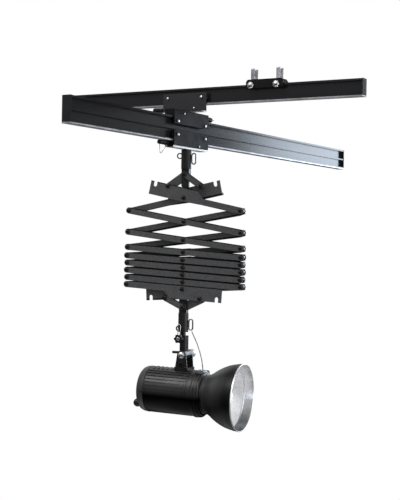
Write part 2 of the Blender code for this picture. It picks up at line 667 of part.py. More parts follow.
def cross_carriage(shop):
    bar_half = PLATE_INSIDE - GAP
    upper_z = (UPPER_BAR_TOP + UPPER_BAR_BOTTOM) / 2
    cross_z = (CROSS_BAR_TOP + CROSS_BAR_BOTTOM) / 2
    upper = span("X", (-BAR_HALF_LENGTH_X, -bar_half, UPPER_BAR_BOTTOM),
                 (BAR_HALF_LENGTH_X - UPPER_BAR_CUT_BACK, bar_half, UPPER_BAR_TOP))
    bolt_end = UPPER_BAR_BOTTOM - CENTRE_BOLT_LENGTH
    bolt = rod_mesh((CROSSING_X, 0, UPPER_BAR_BOTTOM + 1), (CROSSING_X, 0, bolt_end), CENTRE_BOLT_RADIUS, 12)
    shop.shape("upper_bar", upper, "bare_aluminium", add=[bolt],
               cut=[brake_hole("X", -1, BAR_HALF_LENGTH_X, upper_z)])
    cross = span("Y", (-BAR_HALF_LENGTH_Y, -bar_half, CROSS_BAR_BOTTOM),
                 (BAR_HALF_LENGTH_Y, bar_half, CROSS_BAR_TOP))
    seat = rod_mesh((CROSSING_X, 0, CROSS_BAR_TOP + 1), (CROSSING_X, 0, bolt_end - GAP),
                    CENTRE_BOLT_RADIUS + PIN_CLEARANCE, 12)
    shop.shape("cross_bar", cross, "black_steel", cut=[seat, brake_hole("Y", 1, BAR_HALF_LENGTH_Y, cross_z)])
    upper_top = UPPER_RAIL_TOP - UPPER_PLATE_TOP
    for side, word in ((-1, "front"), (1, "rear")):
        corner = span("X", (BAR_HALF_LENGTH_X - UPPER_BAR_CUT_BACK, PLATE_INSIDE - 1, UPPER_BAR_BOTTOM - 1),
                      (BAR_HALF_LENGTH_X + 1, PLATE_OUTSIDE + 1, UPPER_RAIL_BOTTOM + RAIL_RUN_CLEARANCE))
        carriage_plate(shop, "upper_plate_" + word, "X", side, BAR_HALF_LENGTH_X, upper_top, UPPER_BAR_BOTTOM,
                       (UPPER_AXLE_X, UPPER_AXLE_Z), None, (SMALL_SCREW_OFFSET_X, upper_z),
                       cut=[corner] if side > 0 else [])
    cross_bottom = LOWER_RAIL_TOP - CROSS_PLATE_DROP
    for side, word in ((-1, "front"), (1, "rear")):
        carriage_plate(shop, "cross_plate_" + word, "Y", side, BAR_HALF_LENGTH_Y, CROSS_BAR_TOP, cross_bottom,
                       (CROSS_AXLE_Y, CROSS_AXLE_Z), CROSS_ROLLER_RADIUS, (-SMALL_SCREW_OFFSET_Y, cross_z))
    wheels(shop, "upper_wheel", "X", UPPER_WHEEL_RADIUS, UPPER_AXLE_X, UPPER_AXLE_Z)
    brake(shop, "upper_brake", "X", -1, BAR_HALF_LENGTH_X, upper_z, UPPER_BRAKE_RADIUS, BRAKE_LENGTH,
          UPPER_BAIL_DROP)
    brake(shop, "cross_brake", "Y", 1, BAR_HALF_LENGTH_Y, cross_z, UPPER_BRAKE_RADIUS, BRAKE_LENGTH, None)


def trolley(shop):
    bar_half = PLATE_INSIDE - GAP
    brake_z = LOWER_RAIL_BOTTOM - RAIL_RUN_CLEARANCE - TROLLEY_BRAKE_RADIUS
    block = span("Y", (-BAR_HALF_LENGTH_Y, -bar_half, TROLLEY_BLOCK_BOTTOM),
                 (BAR_HALF_LENGTH_Y, bar_half, TROLLEY_BLOCK_TOP))
    stud = rod_mesh((CROSSING_X, 0, TROLLEY_BLOCK_BOTTOM + 1), (CROSSING_X, 0, TOP_SOCKET_TOP - STUD_DEPTH),
                    STUD_RADIUS, 16)
    shop.shape("trolley_block", block, "bare_aluminium", add=[stud],
               cut=[brake_hole("Y", -1, BAR_HALF_LENGTH_Y, brake_z)])
    top = LOWER_RAIL_BOTTOM + TROLLEY_PLATE_TOP
    plate_bottom = TROLLEY_BLOCK_BOTTOM + TROLLEY_BLOCK_PROUD
    for side, word in ((-1, "front"), (1, "rear")):
        carriage_plate(shop, "trolley_plate_" + word, "Y", side, BAR_HALF_LENGTH_Y, top, plate_bottom,
                       (CROSS_AXLE_Y, TROLLEY_AXLE_Z), None,
                       (SMALL_SCREW_OFFSET_Y, (TROLLEY_BLOCK_TOP + plate_bottom) / 2))
    wheels(shop, "trolley_wheel", "Y", TROLLEY_WHEEL_RADIUS, CROSS_AXLE_Y, TROLLEY_AXLE_Z)
    brake(shop, "trolley_brake", "Y", -1, BAR_HALF_LENGTH_Y, brake_z, TROLLEY_BRAKE_RADIUS,
          TROLLEY_BRAKE_LENGTH, TROLLEY_BAIL_DROP)


def socket(shop, name, group, x, top, pivot_z, up, bore, ring, lock_drop):
    """A pantograph end socket with its tongue, rear ear, pivot pin and small ring.

    up is 1 when the bore opens upwards and the fork points down, -1 for the other way.
    """
    bore_radius, bore_depth = bore
    ring_at, ring_drop = ring
    bottom = top - SOCKET_LENGTH
    mouth, fork_end = (top, bottom) if up > 0 else (bottom, top)
    inside = -up
    body = rod_mesh((x, 0, bottom), (x, 0, top), SOCKET_RADIUS, 24)
    hole = rod_mesh((x, 0, mouth + up), (x, 0, mouth + inside * bore_depth), bore_radius + PIN_CLEARANCE, 20)
    lock_z = mouth + inside * lock_drop
    lock_hole = rod_mesh((x + SOCKET_RADIUS - LOCK_SCREW_DEPTH - GAP, 0, lock_z),
                         (x + SOCKET_RADIUS + 2, 0, lock_z), LOCK_SCREW_RADIUS + PIN_CLEARANCE, 12)
    outline = fork_outline(x, pivot_z, fork_end + up * 1.0, up)
    tongue = outline_mesh(tongue_outline(x, pivot_z, fork_end + up * 1.0, up), -TONGUE_FRONT, TONGUE_REAR)
    ear_front = TONGUE_REAR + REAR_LINK_THICKNESS + 2 * GAP
    ear = outline_mesh(outline, ear_front, ear_front + REAR_EAR_THICKNESS)
    pin = rod_mesh((x, TONGUE_REAR - 1, pivot_z), (x, ear_front + 1, pivot_z), AXLE_RADIUS, 12)
    ring_z = mouth + inside * ring_drop
    circle = [(x + ring_at[0] + SAFETY_RING_RADIUS * math.cos(rad(a)), ring_at[1],
               ring_z + SAFETY_RING_RADIUS * math.sin(rad(a))) for a in range(0, 360, 24)]
    eye = wire_mesh(circle, SAFETY_RING_WIRE, closed=True)
    shop.shape(name, body, "black_steel", cut=[hole, lock_hole], add=[tongue, ear, pin, eye], parent=group)


def tongue_outline(x, pivot_z, root_z, up):
    """The plate between the links, from the socket's end past its pivot, with cut corners."""
    tip = pivot_z - up * TONGUE_REACH
    right = [(FORK_RADIUS, root_z), (FORK_RADIUS, tip + up * TONGUE_CORNER), (TONGUE_TIP_HALF, tip)]
    points = [(x + u, z) for u, z in right] + [(x - u, z) for u, z in reversed(right)]
    return points if up < 0 else points[::-1]


def fork_outline(x, pivot_z, root_z, up):
    """A round-ended tab from the socket's end to its pivot."""
    left, right = (x - FORK_RADIUS, root_z), (x + FORK_RADIUS, root_z)
    if up > 0:
        return [right, left] + arc(x, pivot_z, FORK_RADIUS, 180, 360, 8)
    return [left, right] + arc(x, pivot_z, FORK_RADIUS, 0, 180, 8)


def lock(shop, name, group, x, z):
    """A lock screw in a socket's side with an oval wire handle, with its origin on the screw's axis."""
    start = SOCKET_RADIUS - LOCK_SCREW_DEPTH
    loop_x = SOCKET_RADIUS + GAP + LOCK_LOOP_WIRE + LOCK_LOOP_HALF_WIDTH
    straight = LOCK_LOOP_HALF_HEIGHT - LOCK_LOOP_HALF_WIDTH
    screw = rod_mesh((start, 0, 0), (loop_x - LOCK_LOOP_HALF_WIDTH, 0, 0), LOCK_SCREW_RADIUS, 12)
    upper = arc(loop_x, straight, LOCK_LOOP_HALF_WIDTH, 0, 180, 8)
    lower = arc(loop_x, -straight, LOCK_LOOP_HALF_WIDTH, 180, 360, 8)
    handle = wire_mesh([(u, 0, w) for u, w in upper + lower], LOCK_LOOP_WIRE, closed=True)
    item = shop.shape(name, screw, "black_steel", add=[handle], parent=group)
    place = Vector((x, 0, z)) * MM
    item.location = place
    item.modifiers[0].object.location = place


def lipped_arm_outline():
    """A regular rear arm, whose lower edge stands a little lower between its round ends."""
    half = ARM_HEIGHT / 2
    lip = ARM_HALF - REAR_LIP_INSET
    ends = arc(ARM_HALF, 0, half, -90, 90, 6) + arc(-ARM_HALF, 0, half, 90, 270, 6)
    return ends + [(-lip, -half - REAR_LIP), (lip, -half - REAR_LIP)]


def wide_arm_outline(end, notch_at, bottom):
    """A top or bottom arm: narrow on the +x side, wide and notched on the -x side."""
    half = ARM_HEIGHT / 2
    notch_floor = WIDE_TOP - NOTCH_DEPTH + NOTCH_RADIUS
    notch = arc(-notch_at, notch_floor, NOTCH_RADIUS, 0, -180, 6)
    points = arc(ARM_HALF, 0, half, -90, 90, 6)
    points += [(WIDE_TAPER_START, half), (WIDE_TAPER_END, WIDE_TOP), (-notch_at + NOTCH_RADIUS, WIDE_TOP)]
    points += notch
    points += [(-notch_at - NOTCH_RADIUS, WIDE_TOP), (-end, WIDE_TOP), (-end, -bottom)]
    points += [(0.0, -bottom), (WIDE_TAPER_START, -half)]
    return points


def arm_mesh(shop, name, outline, pivots, front, wide_side=0):
    """A channel arm about its centre pivot, open to the rear, with its web towards -y.

    Each pivot is (x, z, y that its boss reaches). wide_side is -1 or 1 where one half is wide, or else 0.
    """
    low = -LAYER_OUTSIDE if front else LAYER_INSIDE
    high = low + ARM_DEPTH
    web_inside = low + ARM_WALL
    body = outline_mesh(outline, low, high)
    beyond = ARM_HALF + ARM_HEIGHT
    half = ARM_HEIGHT / 2
    cuts = [box_mesh((-beyond, web_inside, -half + ARM_WALL), (beyond, high + 1, half - ARM_WALL))]
    if wide_side:
        ends = sorted((wide_side * beyond, -wide_side * WIDE_TAPER_START))
        cuts.append(box_mesh((ends[0], web_inside, half - 2 * ARM_WALL),
                             (ends[1], high + 1, WIDE_TOP + ARM_WALL)))
    joined = []
    for x, z, reach in pivots:
        inside = low + ARM_WALL / 2
        joined.append(rod_mesh((x, inside, z), (x, reach, z), BOSS_RADIUS, 10))
        head = low - BOLT_HEAD_HEIGHT if front else web_inside + BOLT_HEAD_HEIGHT
        if front:
            joined.append(rod_mesh((x, low + ARM_WALL / 4, z), (x, head, z), BOLT_HEAD_RADIUS, 10))
        else:
            joined.append(rod_mesh((x, web_inside - ARM_WALL / 4, z), (x, head, z), BOLT_HEAD_RADIUS, 10))
    return shop.mesh_of(name, body, add=joined, cut=cuts)


def link_mesh(shop, name, radius, front):
    """A hanger link from its upper pivot at the origin to its lower pivot at -z."""
    if front:
        near, far = -TONGUE_FRONT - GAP - FRONT_LINK_THICKNESS, -TONGUE_FRONT - GAP
    else:
        near, far = TONGUE_REAR + GAP, TONGUE_REAR + GAP + REAR_LINK_THICKNESS
    body = outline_mesh(stadium(0, -RHOMB_SIDE, 0, 0, radius, 8), near, far)
    joined, cuts = [], []
    for z in (0, -RHOMB_SIDE):
        if front:
            joined.append(rod_mesh((0, near + 0.5, z), (0, near - BOLT_HEAD_HEIGHT, z), BOLT_HEAD_RADIUS, 10))
        elif z:
            joined.append(rod_mesh((0, far - 0.5, z), (0, far + BOLT_HEAD_HEIGHT, z), BOLT_HEAD_RADIUS, 10))
        else:
            cuts.append(rod_mesh((0, near - 1, z), (0, far + 1, z), AXLE_RADIUS + PIN_CLEARANCE, 12))
    return shop.mesh_of(name, body, add=joined, cut=cuts)


def pantograph(shop, group):
    meet = GAP / 2
    ends = ((-ARM_HALF, 0), (0, 0), (ARM_HALF, 0))
    hook = (-RHOMB_SIDE * math.cos(rad(RHOMB_OFFSET_ANGLE)), RHOMB_SIDE * math.sin(rad(RHOMB_OFFSET_ANGLE)))
    regular = stadium(-ARM_HALF, 0, ARM_HALF, 0, ARM_HEIGHT / 2)
    front = arm_mesh(shop, "arm_front", regular, [(x, z, -meet) for x, z in ends], True)
    rear = arm_mesh(shop, "arm_rear", lipped_arm_outline(), [(x, z, meet) for x, z in ends], False)
    front_pivots = [(*hook, TONGUE_REAR), (0, 0, -meet), (ARM_HALF, 0, -meet)]
    rear_pivots = [(-hook[0], hook[1], -TONGUE_FRONT), (0, 0, meet), (-ARM_HALF, 0, meet)]
    wide_arms = []
    for end, notch_at, bottoms in zip(WIDE_ENDS, NOTCHES_AT, WIDE_BOTTOMS):
        wide = wide_arm_outline(end, notch_at, bottoms[0])
        mirrored = [(-x, z) for x, z in reversed(wide_arm_outline(end, notch_at, bottoms[1]))]
        wide_arms.append((arm_mesh(shop, "arm_front_wide", wide, front_pivots, True, -1),
                          arm_mesh(shop, "arm_rear_wide", mirrored, rear_pivots, False, 1)))
    for stage, ((x, z), angle) in enumerate(zip(CENTRES, STAGE_REST_ANGLES)):
        number = str(stage + 1)
        chain_x = x if stage % 2 == 0 else -x
        bottom = stage == STAGES - 1
        flip = rad(180) if bottom else 0.0
        pair = (front, rear)
        if stage == 0 or bottom:
            pair = wide_arms[1 if bottom else 0]
        turns = ((0.0, rad(angle) + flip, 0.0), (0.0, -rad(angle) + flip, 0.0))
        shop.place("arm_front_" + number, pair[0], "arm_grey", (chain_x, 0, z), turns[0], group)
        shop.place("arm_rear_" + number, pair[1], "arm_grey", (-chain_x, 0, z), turns[1], group)
    front_link = link_mesh(shop, "link_front", FRONT_LINK_RADIUS, True)
    rear_link = link_mesh(shop, "link_rear", REAR_LINK_RADIUS, False)
    top_lean = rad(90 - TOP_RHOMB_ANGLE)
    bottom_lean = rad(90 - BOTTOM_RHOMB_ANGLE)
    shop.place("link_top_left", rear_link, "arm_grey", (0, 0, TOP_PIVOT_Z), (0.0, top_lean, 0.0), group)
    shop.place("link_top_right", front_link, "arm_grey", (0, 0, TOP_PIVOT_Z), (0.0, -top_lean, 0.0), group)
    shop.place("link_bottom_right", rear_link, "arm_grey", (BOTTOM_PIVOT_X, 0, BOTTOM_PIVOT_Z),
               (0.0, rad(180) + bottom_lean, 0.0), group)
    shop.place("link_bottom_left", front_link, "arm_grey", (-BOTTOM_PIVOT_X, 0, BOTTOM_PIVOT_Z),
               (0.0, rad(180) - bottom_lean, 0.0), group)


def light_stem(shop, group):
    x = BOTTOM_PIVOT_X
    spigot_top = BOTTOM_SOCKET_BOTTOM + SPIGOT_DEPTH - GAP
    spigot_bottom = BOTTOM_SOCKET_BOTTOM - SPIGOT_FREE_LENGTH
    spigot = rod_mesh((x, 0, spigot_bottom), (x, 0, spigot_top), SPIGOT_RADIUS, 20)
    shop.shape("light_spigot", spigot, "bright_steel", parent=group)
    hub_half = YOKE_INSIDE / 2 - GAP
    axis_x = x + TILT_OFFSET
    neck_x = x + NECK_OFFSET
    neck_top = TILT_AXIS_Z + NECK_HEIGHT
    star_x = x - STAR_KNOB_X
    star_z = neck_top - STAR_KNOB_BELOW
    barrel = rod_mesh((axis_x, -hub_half, TILT_AXIS_Z), (axis_x, hub_half, TILT_AXIS_Z), HUB_RADIUS, 20)
    neck = rod_mesh((neck_x, 0, TILT_AXIS_Z), (neck_x, 0, neck_top), NECK_RADIUS, 20)
    boss = rod_mesh((star_x, 0, star_z), (star_x, -CLAMP_BOSS_REACH, star_z), CLAMP_BOSS_RADIUS, 16)
    lever = rod_mesh((x, 0, TILT_AXIS_Z + 5), (x - HUB_LEVER_LENGTH, 0, TILT_AXIS_Z + 5),
                     HUB_LEVER_RADIUS, 12)
    seat = rod_mesh((x, 0, spigot_bottom - GAP), (x, 0, spigot_top), SPIGOT_RADIUS + PIN_CLEARANCE, 20)
    bolt_hole = rod_mesh((axis_x, -hub_half - 1, TILT_AXIS_Z), (axis_x, hub_half + 1, TILT_AXIS_Z),
                         TILT_BOLT_RADIUS + PIN_CLEARANCE, 12)
    star_tip = -SPIGOT_RADIUS - PIN_CLEARANCE
    star_hole = rod_mesh((star_x, -CLAMP_BOSS_REACH - 1, star_z), (star_x, star_tip + 2, star_z),
                         STAR_SCREW_RADIUS + PIN_CLEARANCE, 12)
    hub = shop.shape("tilt_hub", barrel, "black_plastic", add=[neck, boss, lever], parent=group)
    for number, bm in enumerate((seat, bolt_hole, star_hole)):
        modifier = hub.modifiers.new("bore" + str(number), "BOOLEAN")
        modifier.operation = "DIFFERENCE"
        modifier.solver = "EXACT"
        modifier.object = shop.tool("tilt_hub_bore_" + str(number), bm, group)
    star_knob(shop, group, star_x, star_z)


def star_knob(shop, group, x, z):
    """The lobed clamp knob, with its screw in the boss of the hub."""
    outline = []
    steps = STAR_KNOB_LOBES * 6
    for i in range(steps):
        angle = 2 * math.pi * i / steps
        radius = STAR_KNOB_RADIUS + STAR_KNOB_LOBE * math.cos(STAR_KNOB_LOBES * angle) / 2
        outline.append((radius * math.cos(angle), radius * math.sin(angle)))
    back = -CLAMP_BOSS_REACH - STAR_SCREW_FREE
    head = outline_mesh(outline, back - STAR_KNOB_THICKNESS, back)
    screw = rod_mesh((0, back - 1, 0), (0, -SPIGOT_RADIUS - GAP, 0), STAR_SCREW_RADIUS, 12)
    item = shop.shape("clamp_knob", head, "black_plastic", add=[screw], parent=group)
    item.location = Vector((x, 0, z)) * MM
    item.modifiers[0].object.location = item.location


def light_head(shop, group):
    """Everything that tilts; its parent stands on the tilt axis and is turned by the tilt."""
    tilt = bpy.data.objects.new("tilt_axis", None)
    shop.cutters.objects.link(tilt)
    tilt.parent = group
    tilt.location = Vector((BOTTOM_PIVOT_X + TILT_OFFSET, 0, TILT_AXIS_Z)) * MM
    tilt.rotation_euler = (0.0, rad(LIGHT_TILT), 0.0)
    axis_z = -LIGHT_AXIS_DROP
    centre = Matrix.Translation((-TILT_OFFSET * MM, 0, axis_z * MM))
    housing(shop, tilt, centre)
    reflector(shop, tilt, centre)
    yoke(shop, tilt, axis_z)
    tilt_knob(shop, tilt)
    safety_cable(shop, tilt)


def housing(shop, tilt, centre):
    ring_front = NECK_FRONT + FRONT_RING_LENGTH
    profile = [(ring_front, 0.0), (ring_front, FRONT_RING_RADIUS), (NECK_FRONT, FRONT_RING_RADIUS),
               (NECK_FRONT, LIGHT_NECK_RADIUS), (COLLAR_FRONT, LIGHT_NECK_RADIUS),
               (COLLAR_FRONT - 4, COLLAR_RADIUS), (HOUSING_FRONT + 2, COLLAR_RADIUS),
               (HOUSING_FRONT, HOUSING_RADIUS), (-HOUSING_REAR + REAR_CAP_LENGTH, HOUSING_RADIUS),
               (-HOUSING_REAR, REAR_CAP_RADIUS), (-HOUSING_REAR, 0.0)]
    body = turned_mesh(profile, 32)
    body.transform(centre)
    knob = rod_mesh((-HOUSING_REAR + 1, 0, -REAR_KNOB_DROP), (-REAR_KNOB_END, 0, -REAR_KNOB_DROP),
                    REAR_KNOB_RADIUS)
    knob.transform(centre)
    shop.shape("light_housing", body, "housing_black", add=[knob], parent=tilt)
    front = NECK_FRONT + FRONT_RING_LENGTH + GAP
    straight = DOME_LENGTH - DOME_RADIUS
    dome = [(front, 0.0), (front, DOME_RADIUS)]
    dome += [(front + straight + DOME_RADIUS * math.sin(rad(a)), DOME_RADIUS * math.cos(rad(a)))
             for a in range(0, 90, 18)]
    dome.append((front + DOME_LENGTH, 0.0))
    bulb = turned_mesh(dome, 16)
    bulb.transform(centre)
    shop.shape("glass_dome", bulb, "glass", parent=tilt)


def reflector(shop, tilt, centre):
    """An open bowl that widens from the light's neck to its rolled front edge."""
    start = NECK_FRONT + GAP
    outer = [(start, LIGHT_NECK_RADIUS)]
    outer += [(start + x, LIGHT_NECK_RADIUS + r) for x, r in REFLECTOR_CURVE]
    outer.append((REFLECTOR_FRONT - 2 * REFLECTOR_LIP, REFLECTOR_RADIUS - 1))
    outer.append((REFLECTOR_FRONT, REFLECTOR_RADIUS))
    inner = []
    for (x1, r1), (x2, r2) in zip(outer, outer[1:]):
        length = math.hypot(x2 - x1, r2 - r1)
        inner.append(((x1 + x2) / 2 + REFLECTOR_WALL * (r2 - r1) / length,
                      (r1 + r2) / 2 - REFLECTOR_WALL * (x2 - x1) / length))
    inner[0] = (NECK_FRONT + FRONT_RING_LENGTH + REFLECTOR_WALL, FRONT_RING_RADIUS + GAP)
    inner = inner[:1] + inner[2:]
    inner.append((REFLECTOR_FRONT, REFLECTOR_RADIUS - REFLECTOR_WALL))
    shell = turned_mesh(outer + inner[::-1] + [(start, FRONT_RING_RADIUS + GAP)], 32, closed=True)
    shell.transform(centre)
    shop.shape("reflector", shell, "bare_aluminium", parent=tilt)


def yoke(shop, tilt, axis_z):
    """Base on the housing's top and two ears with the tilt bolt's holes."""
    inside = YOKE_INSIDE / 2
    outside = inside + EAR_THICKNESS
    seat_radius = HOUSING_RADIUS + GAP
    base_top = axis_z + seat_radius + YOKE_BASE_THICKNESS
    sink = seat_radius - math.sqrt(seat_radius ** 2 - outside ** 2) + 1.0
    base = box_mesh((-YOKE_BASE_HALF_X, -outside, axis_z + seat_radius - sink),
                    (YOKE_BASE_HALF_X, outside, base_top))
    foot = [(-EAR_FOOT_HALF, base_top - 1), (EAR_FOOT_HALF, base_top - 1)]
    ear = arc(0, 0, EAR_TOP_RADIUS, 0, 180, 8) + foot
    ears = [outline_mesh(ear, -outside, -inside), outline_mesh(ear, inside, outside)]
    cuts = [rod_mesh((-YOKE_BASE_HALF_X - 5, 0, axis_z), (YOKE_BASE_HALF_X + 5, 0, axis_z), seat_radius, 64)]
    item = shop.shape("tilt_yoke", base, "black_plastic", cut=cuts, add=ears, parent=tilt)
    hole = rod_mesh((0, -outside - 1, 0), (0, outside + 1, 0), TILT_BOLT_RADIUS + PIN_CLEARANCE, 12)
    modifier = item.modifiers.new("bolt_hole", "BOOLEAN")
    modifier.operation = "DIFFERENCE"
    modifier.solver = "EXACT"
    modifier.object = shop.tool("tilt_yoke_bolt_hole", hole, tilt)


def tilt_knob(shop, tilt):
    """The tilt bolt: hex head in front, round knob behind."""
    face = YOKE_INSIDE / 2 + EAR_THICKNESS + GAP
    knob_start = face + TILT_KNOB_STEM
    bolt = rod_mesh((0, -face - 1, 0), (0, face + 1, 0), TILT_BOLT_RADIUS, 12)
    head = rod_mesh((0, -face - TILT_HEAD_HEIGHT, 0), (0, -face, 0), TILT_HEAD_RADIUS, 6)
    stem = rod_mesh((0, face, 0), (0, knob_start + 1, 0), TILT_KNOB_STEM_RADIUS, 12)
    knob = rod_mesh((0, knob_start, 0), (0, knob_start + TILT_KNOB_THICKNESS, 0), TILT_KNOB_RADIUS, 20)
    shop.shape("tilt_knob", bolt, "bright_steel", add=[head, stem, knob], parent=tilt)


def safety_cable(shop, tilt):
    """A steel cable from the lower socket's handle to the collar of the light."""
    lean = Matrix.Rotation(rad(-LIGHT_TILT), 4, "Y")
    knots = [lean @ Vector((x, 0.0, z)) for x, z in CABLE_ROUTE]
    knots[-1].z = -LIGHT_AXIS_DROP + COLLAR_RADIUS + CABLE_RADIUS / 5 + GAP
    route = []
    for i in range(CABLE_POINTS + 1):
        place = i / CABLE_POINTS * (len(knots) - 1)
        k = min(int(place), len(knots) - 2)
        route.append(curve_point(knots, k, place - k))
    shop.shape("safety_cable", wire_mesh(route, CABLE_RADIUS, resolution=1), "bright_steel", parent=tilt)


def curve_point(knots, k, t):
    """A point of the smooth curve through the knots, between knot k and the next."""
    before = knots[max(k - 1, 0)]
    after = knots[min(k + 2, len(knots) - 1)]
    a, b = knots[k], knots[k + 1]
    slope_a, slope_b = (b - before) / 2, (after - a) / 2
    return (a * (2 * t ** 3 - 3 * t ** 2 + 1) + slope_a * (t ** 3 - 2 * t ** 2 + t)
            + b * (3 * t ** 2 - 2 * t ** 3) + slope_b * (t ** 3 - t ** 2))


def hanging_group(shop):
    """An empty at the crossing, turned as the pantograph hangs in the photograph."""
    group = bpy.data.objects.new("hang_axis", None)
    shop.cutters.objects.link(group)
    group.location = Vector((CROSSING_X, 0, 0)) * MM
    group.rotation_euler = (0.0, 0.0, rad(HANG_TURN))
    return group


def main():
    clear_scene()
    shop = Workshop()
    upper_rail(shop)
    ceiling_saddle(shop)
    set_bolt(shop, "saddle_bolt_left", -STUD_SPACING_X / 2)
    set_bolt(shop, "saddle_bolt_right", STUD_SPACING_X / 2)
    cross_carriage(shop)
    lower_rail(shop)
    trolley(shop)
    group = hanging_group(shop)
    socket(shop, "top_socket", group, 0.0, TOP_SOCKET_TOP, TOP_PIVOT_Z, 1, (STUD_RADIUS, STUD_DEPTH + GAP),
           (TOP_RING_AT, TOP_RING_DROP), TOP_LOCK_DROP)
    lock(shop, "top_lock", group, 0.0, TOP_SOCKET_TOP - TOP_LOCK_DROP)
    pantograph(shop, group)
    socket(shop, "bottom_socket", group, BOTTOM_PIVOT_X, BOTTOM_SOCKET_TOP, BOTTOM_PIVOT_Z, -1,
           (SPIGOT_RADIUS, SPIGOT_DEPTH), (BOTTOM_RING_AT, BOTTOM_RING_DROP), BOTTOM_LOCK_DROP)
    lock(shop, "bottom_lock", group, BOTTOM_PIVOT_X, BOTTOM_SOCKET_BOTTOM + BOTTOM_LOCK_DROP)
    light_stem(shop, group)
    light_head(shop, group)


main()
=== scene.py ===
"""Looks of the ceiling rail system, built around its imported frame.

Sizes are in millimetres, and turned into metres where a piece is made.
The camera, the lights and the floor are in metres.
"""
import json
import math

import bmesh
import bpy
from mathutils import Matrix, Vector

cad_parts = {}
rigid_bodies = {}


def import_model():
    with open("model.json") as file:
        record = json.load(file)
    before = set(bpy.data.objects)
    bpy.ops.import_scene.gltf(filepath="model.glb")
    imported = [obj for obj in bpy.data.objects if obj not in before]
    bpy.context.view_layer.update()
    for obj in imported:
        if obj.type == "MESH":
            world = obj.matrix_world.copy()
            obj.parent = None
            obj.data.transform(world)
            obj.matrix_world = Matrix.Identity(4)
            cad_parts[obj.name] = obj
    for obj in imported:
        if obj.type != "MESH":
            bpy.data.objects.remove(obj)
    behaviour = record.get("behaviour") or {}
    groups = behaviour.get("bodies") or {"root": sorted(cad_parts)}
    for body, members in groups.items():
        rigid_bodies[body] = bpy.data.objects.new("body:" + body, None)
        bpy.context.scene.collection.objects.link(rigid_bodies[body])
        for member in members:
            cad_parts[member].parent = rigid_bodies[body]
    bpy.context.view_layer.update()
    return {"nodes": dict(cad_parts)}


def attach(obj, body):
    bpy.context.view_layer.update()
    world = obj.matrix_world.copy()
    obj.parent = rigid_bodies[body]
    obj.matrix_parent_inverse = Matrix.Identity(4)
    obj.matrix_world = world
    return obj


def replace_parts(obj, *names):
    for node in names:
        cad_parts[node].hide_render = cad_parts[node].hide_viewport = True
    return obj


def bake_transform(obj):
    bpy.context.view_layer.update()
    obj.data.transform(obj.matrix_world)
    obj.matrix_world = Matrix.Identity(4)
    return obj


MM = 0.001
TINY = 1e-6

for item in list(bpy.data.objects):
    bpy.data.objects.remove(item)

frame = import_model()
NODES = frame["nodes"]

# camera, fitted to the rails
CAMERA_PLACE = (1.410, -2.776, -0.446)
CAMERA_AZIMUTH = 30.0
CAMERA_ROLL = -0.99
LENS = 86.1
SENSOR_HEIGHT = 36.0

# lights, as name, place, target, width, height, power and colour
NEUTRAL = (1.0, 1.0, 1.0)
HANGER_MIDDLE = (-0.2, 0.0, -0.45)
LIGHTS = (
    ("key", (-1.4, -2.6, 2.7), HANGER_MIDDLE, 2.2, 2.2, 74.0, NEUTRAL),
    ("fill", (2.6, -2.6, 1.2), HANGER_MIDDLE, 2.0, 2.0, 8.0, NEUTRAL),
    ("rail_card", (0.3, 3.0, -0.1), (0.3, 0.0, -0.1), 1.6, 1.4, 44.0, (0.76, 0.87, 1.0)),
    ("bowl_card", (1.35, 0.1, -0.6), (-0.1, 0.0, -0.84), 1.3, 1.0, 15.0, NEUTRAL),
)

# room: its soft light, and what gloss shows of it, as (height from 0 below to 1 above, brightness)
SOFT_GREY = (0.62, 0.625, 0.64, 1.0)
GLOSS_LEVELS = ((0.3, 0.03), (0.47, 0.12), (0.56, 0.34), (0.7, 0.8), (0.9, 1.0))

# floor, below the fully opened hanger; it fades out between two shares of its radius
FLOOR_CENTRE = (-0.24, 0.2, -3.5)
FLOOR_RADIUS = 5.0
FLOOR_FADE = (0.4, 0.96)
FLOOR_STEPS = 96
FLOOR_GREY = 0.93
FLOOR_ROUGHNESS = 0.8

# finishes: ramp positions, relief and how roughness varies
RAMP_ENDS = (0.35, 0.65)
FLECK_START = 0.74
RELIEF_STRENGTH = 0.6
ROUGH_GRAIN = 2.3
ROUGH_RANGE = (0.85, 1.15)
MASK_SOFTNESS = 0.15
RAIL_STREAK = 0.05

# the reflector's dimples; colour and roughness go from a dimple's middle to its edge
DIMPLE_SCALE = 260.0
DIMPLE_STRENGTH = 0.9
DIMPLE_DEPTH = 0.0012
DIMPLE_METALLIC = 0.6
DIMPLE_EDGE = 0.6
DIMPLE_ROUGHNESS = (0.3, 0.46)
DIMPLE_COLOURS = ((0.94, 0.94, 0.95, 1.0), (0.74, 0.74, 0.76, 1.0))

# painted shade on the light's parts: darker below its axis, and forward of an x on the bowl
LIP_SHADE = 40.0
LIP_SHADE_SOFTNESS = 25.0
HOUSING_SHADE = 4.0
HOUSING_SHADE_SOFTNESS = 6.0
BOWL_SHADE = -5.0
BOWL_SHADE_SOFTNESS = 38.0
BOWL_FRONT_SHADE_X = 132.0
BOWL_FRONT_SHADE_SOFTNESS = 22.0

# mesh making: steps round a turned part, and the angle above which an edge stays sharp
SHELL_STEPS = 96
PLATE_STEPS = 64
ROUND_STEPS = 48
KNOB_STEPS = 40
GRIP_STEPS = 36
BARREL_STEPS = 32
BOLT_STEPS = 28
HEAD_STEPS = 24
STUD_STEPS = 20
SHARP_ANGLE = 32.0
STUD_SHARP_ANGLE = 60.0
BALL_SHARP_ANGLE = 50.0
SHELL_SHARP_ANGLE = 40.0
DOME_SHARP_ANGLE = 30.0
BOWL_SHARP_ANGLE = 25.0
WIRE_FACETS = 4
HEX_FLAT = 0.55
HEX_CHAMFER_HEIGHT = 0.08
HEX_CHAMFER_RADIUS = 0.93
HEX_DOME_RADIUS = 0.84
HEX_DOME_SINK = 0.1
HEX_DOME_ANGLES = (15, 35, 55, 75)
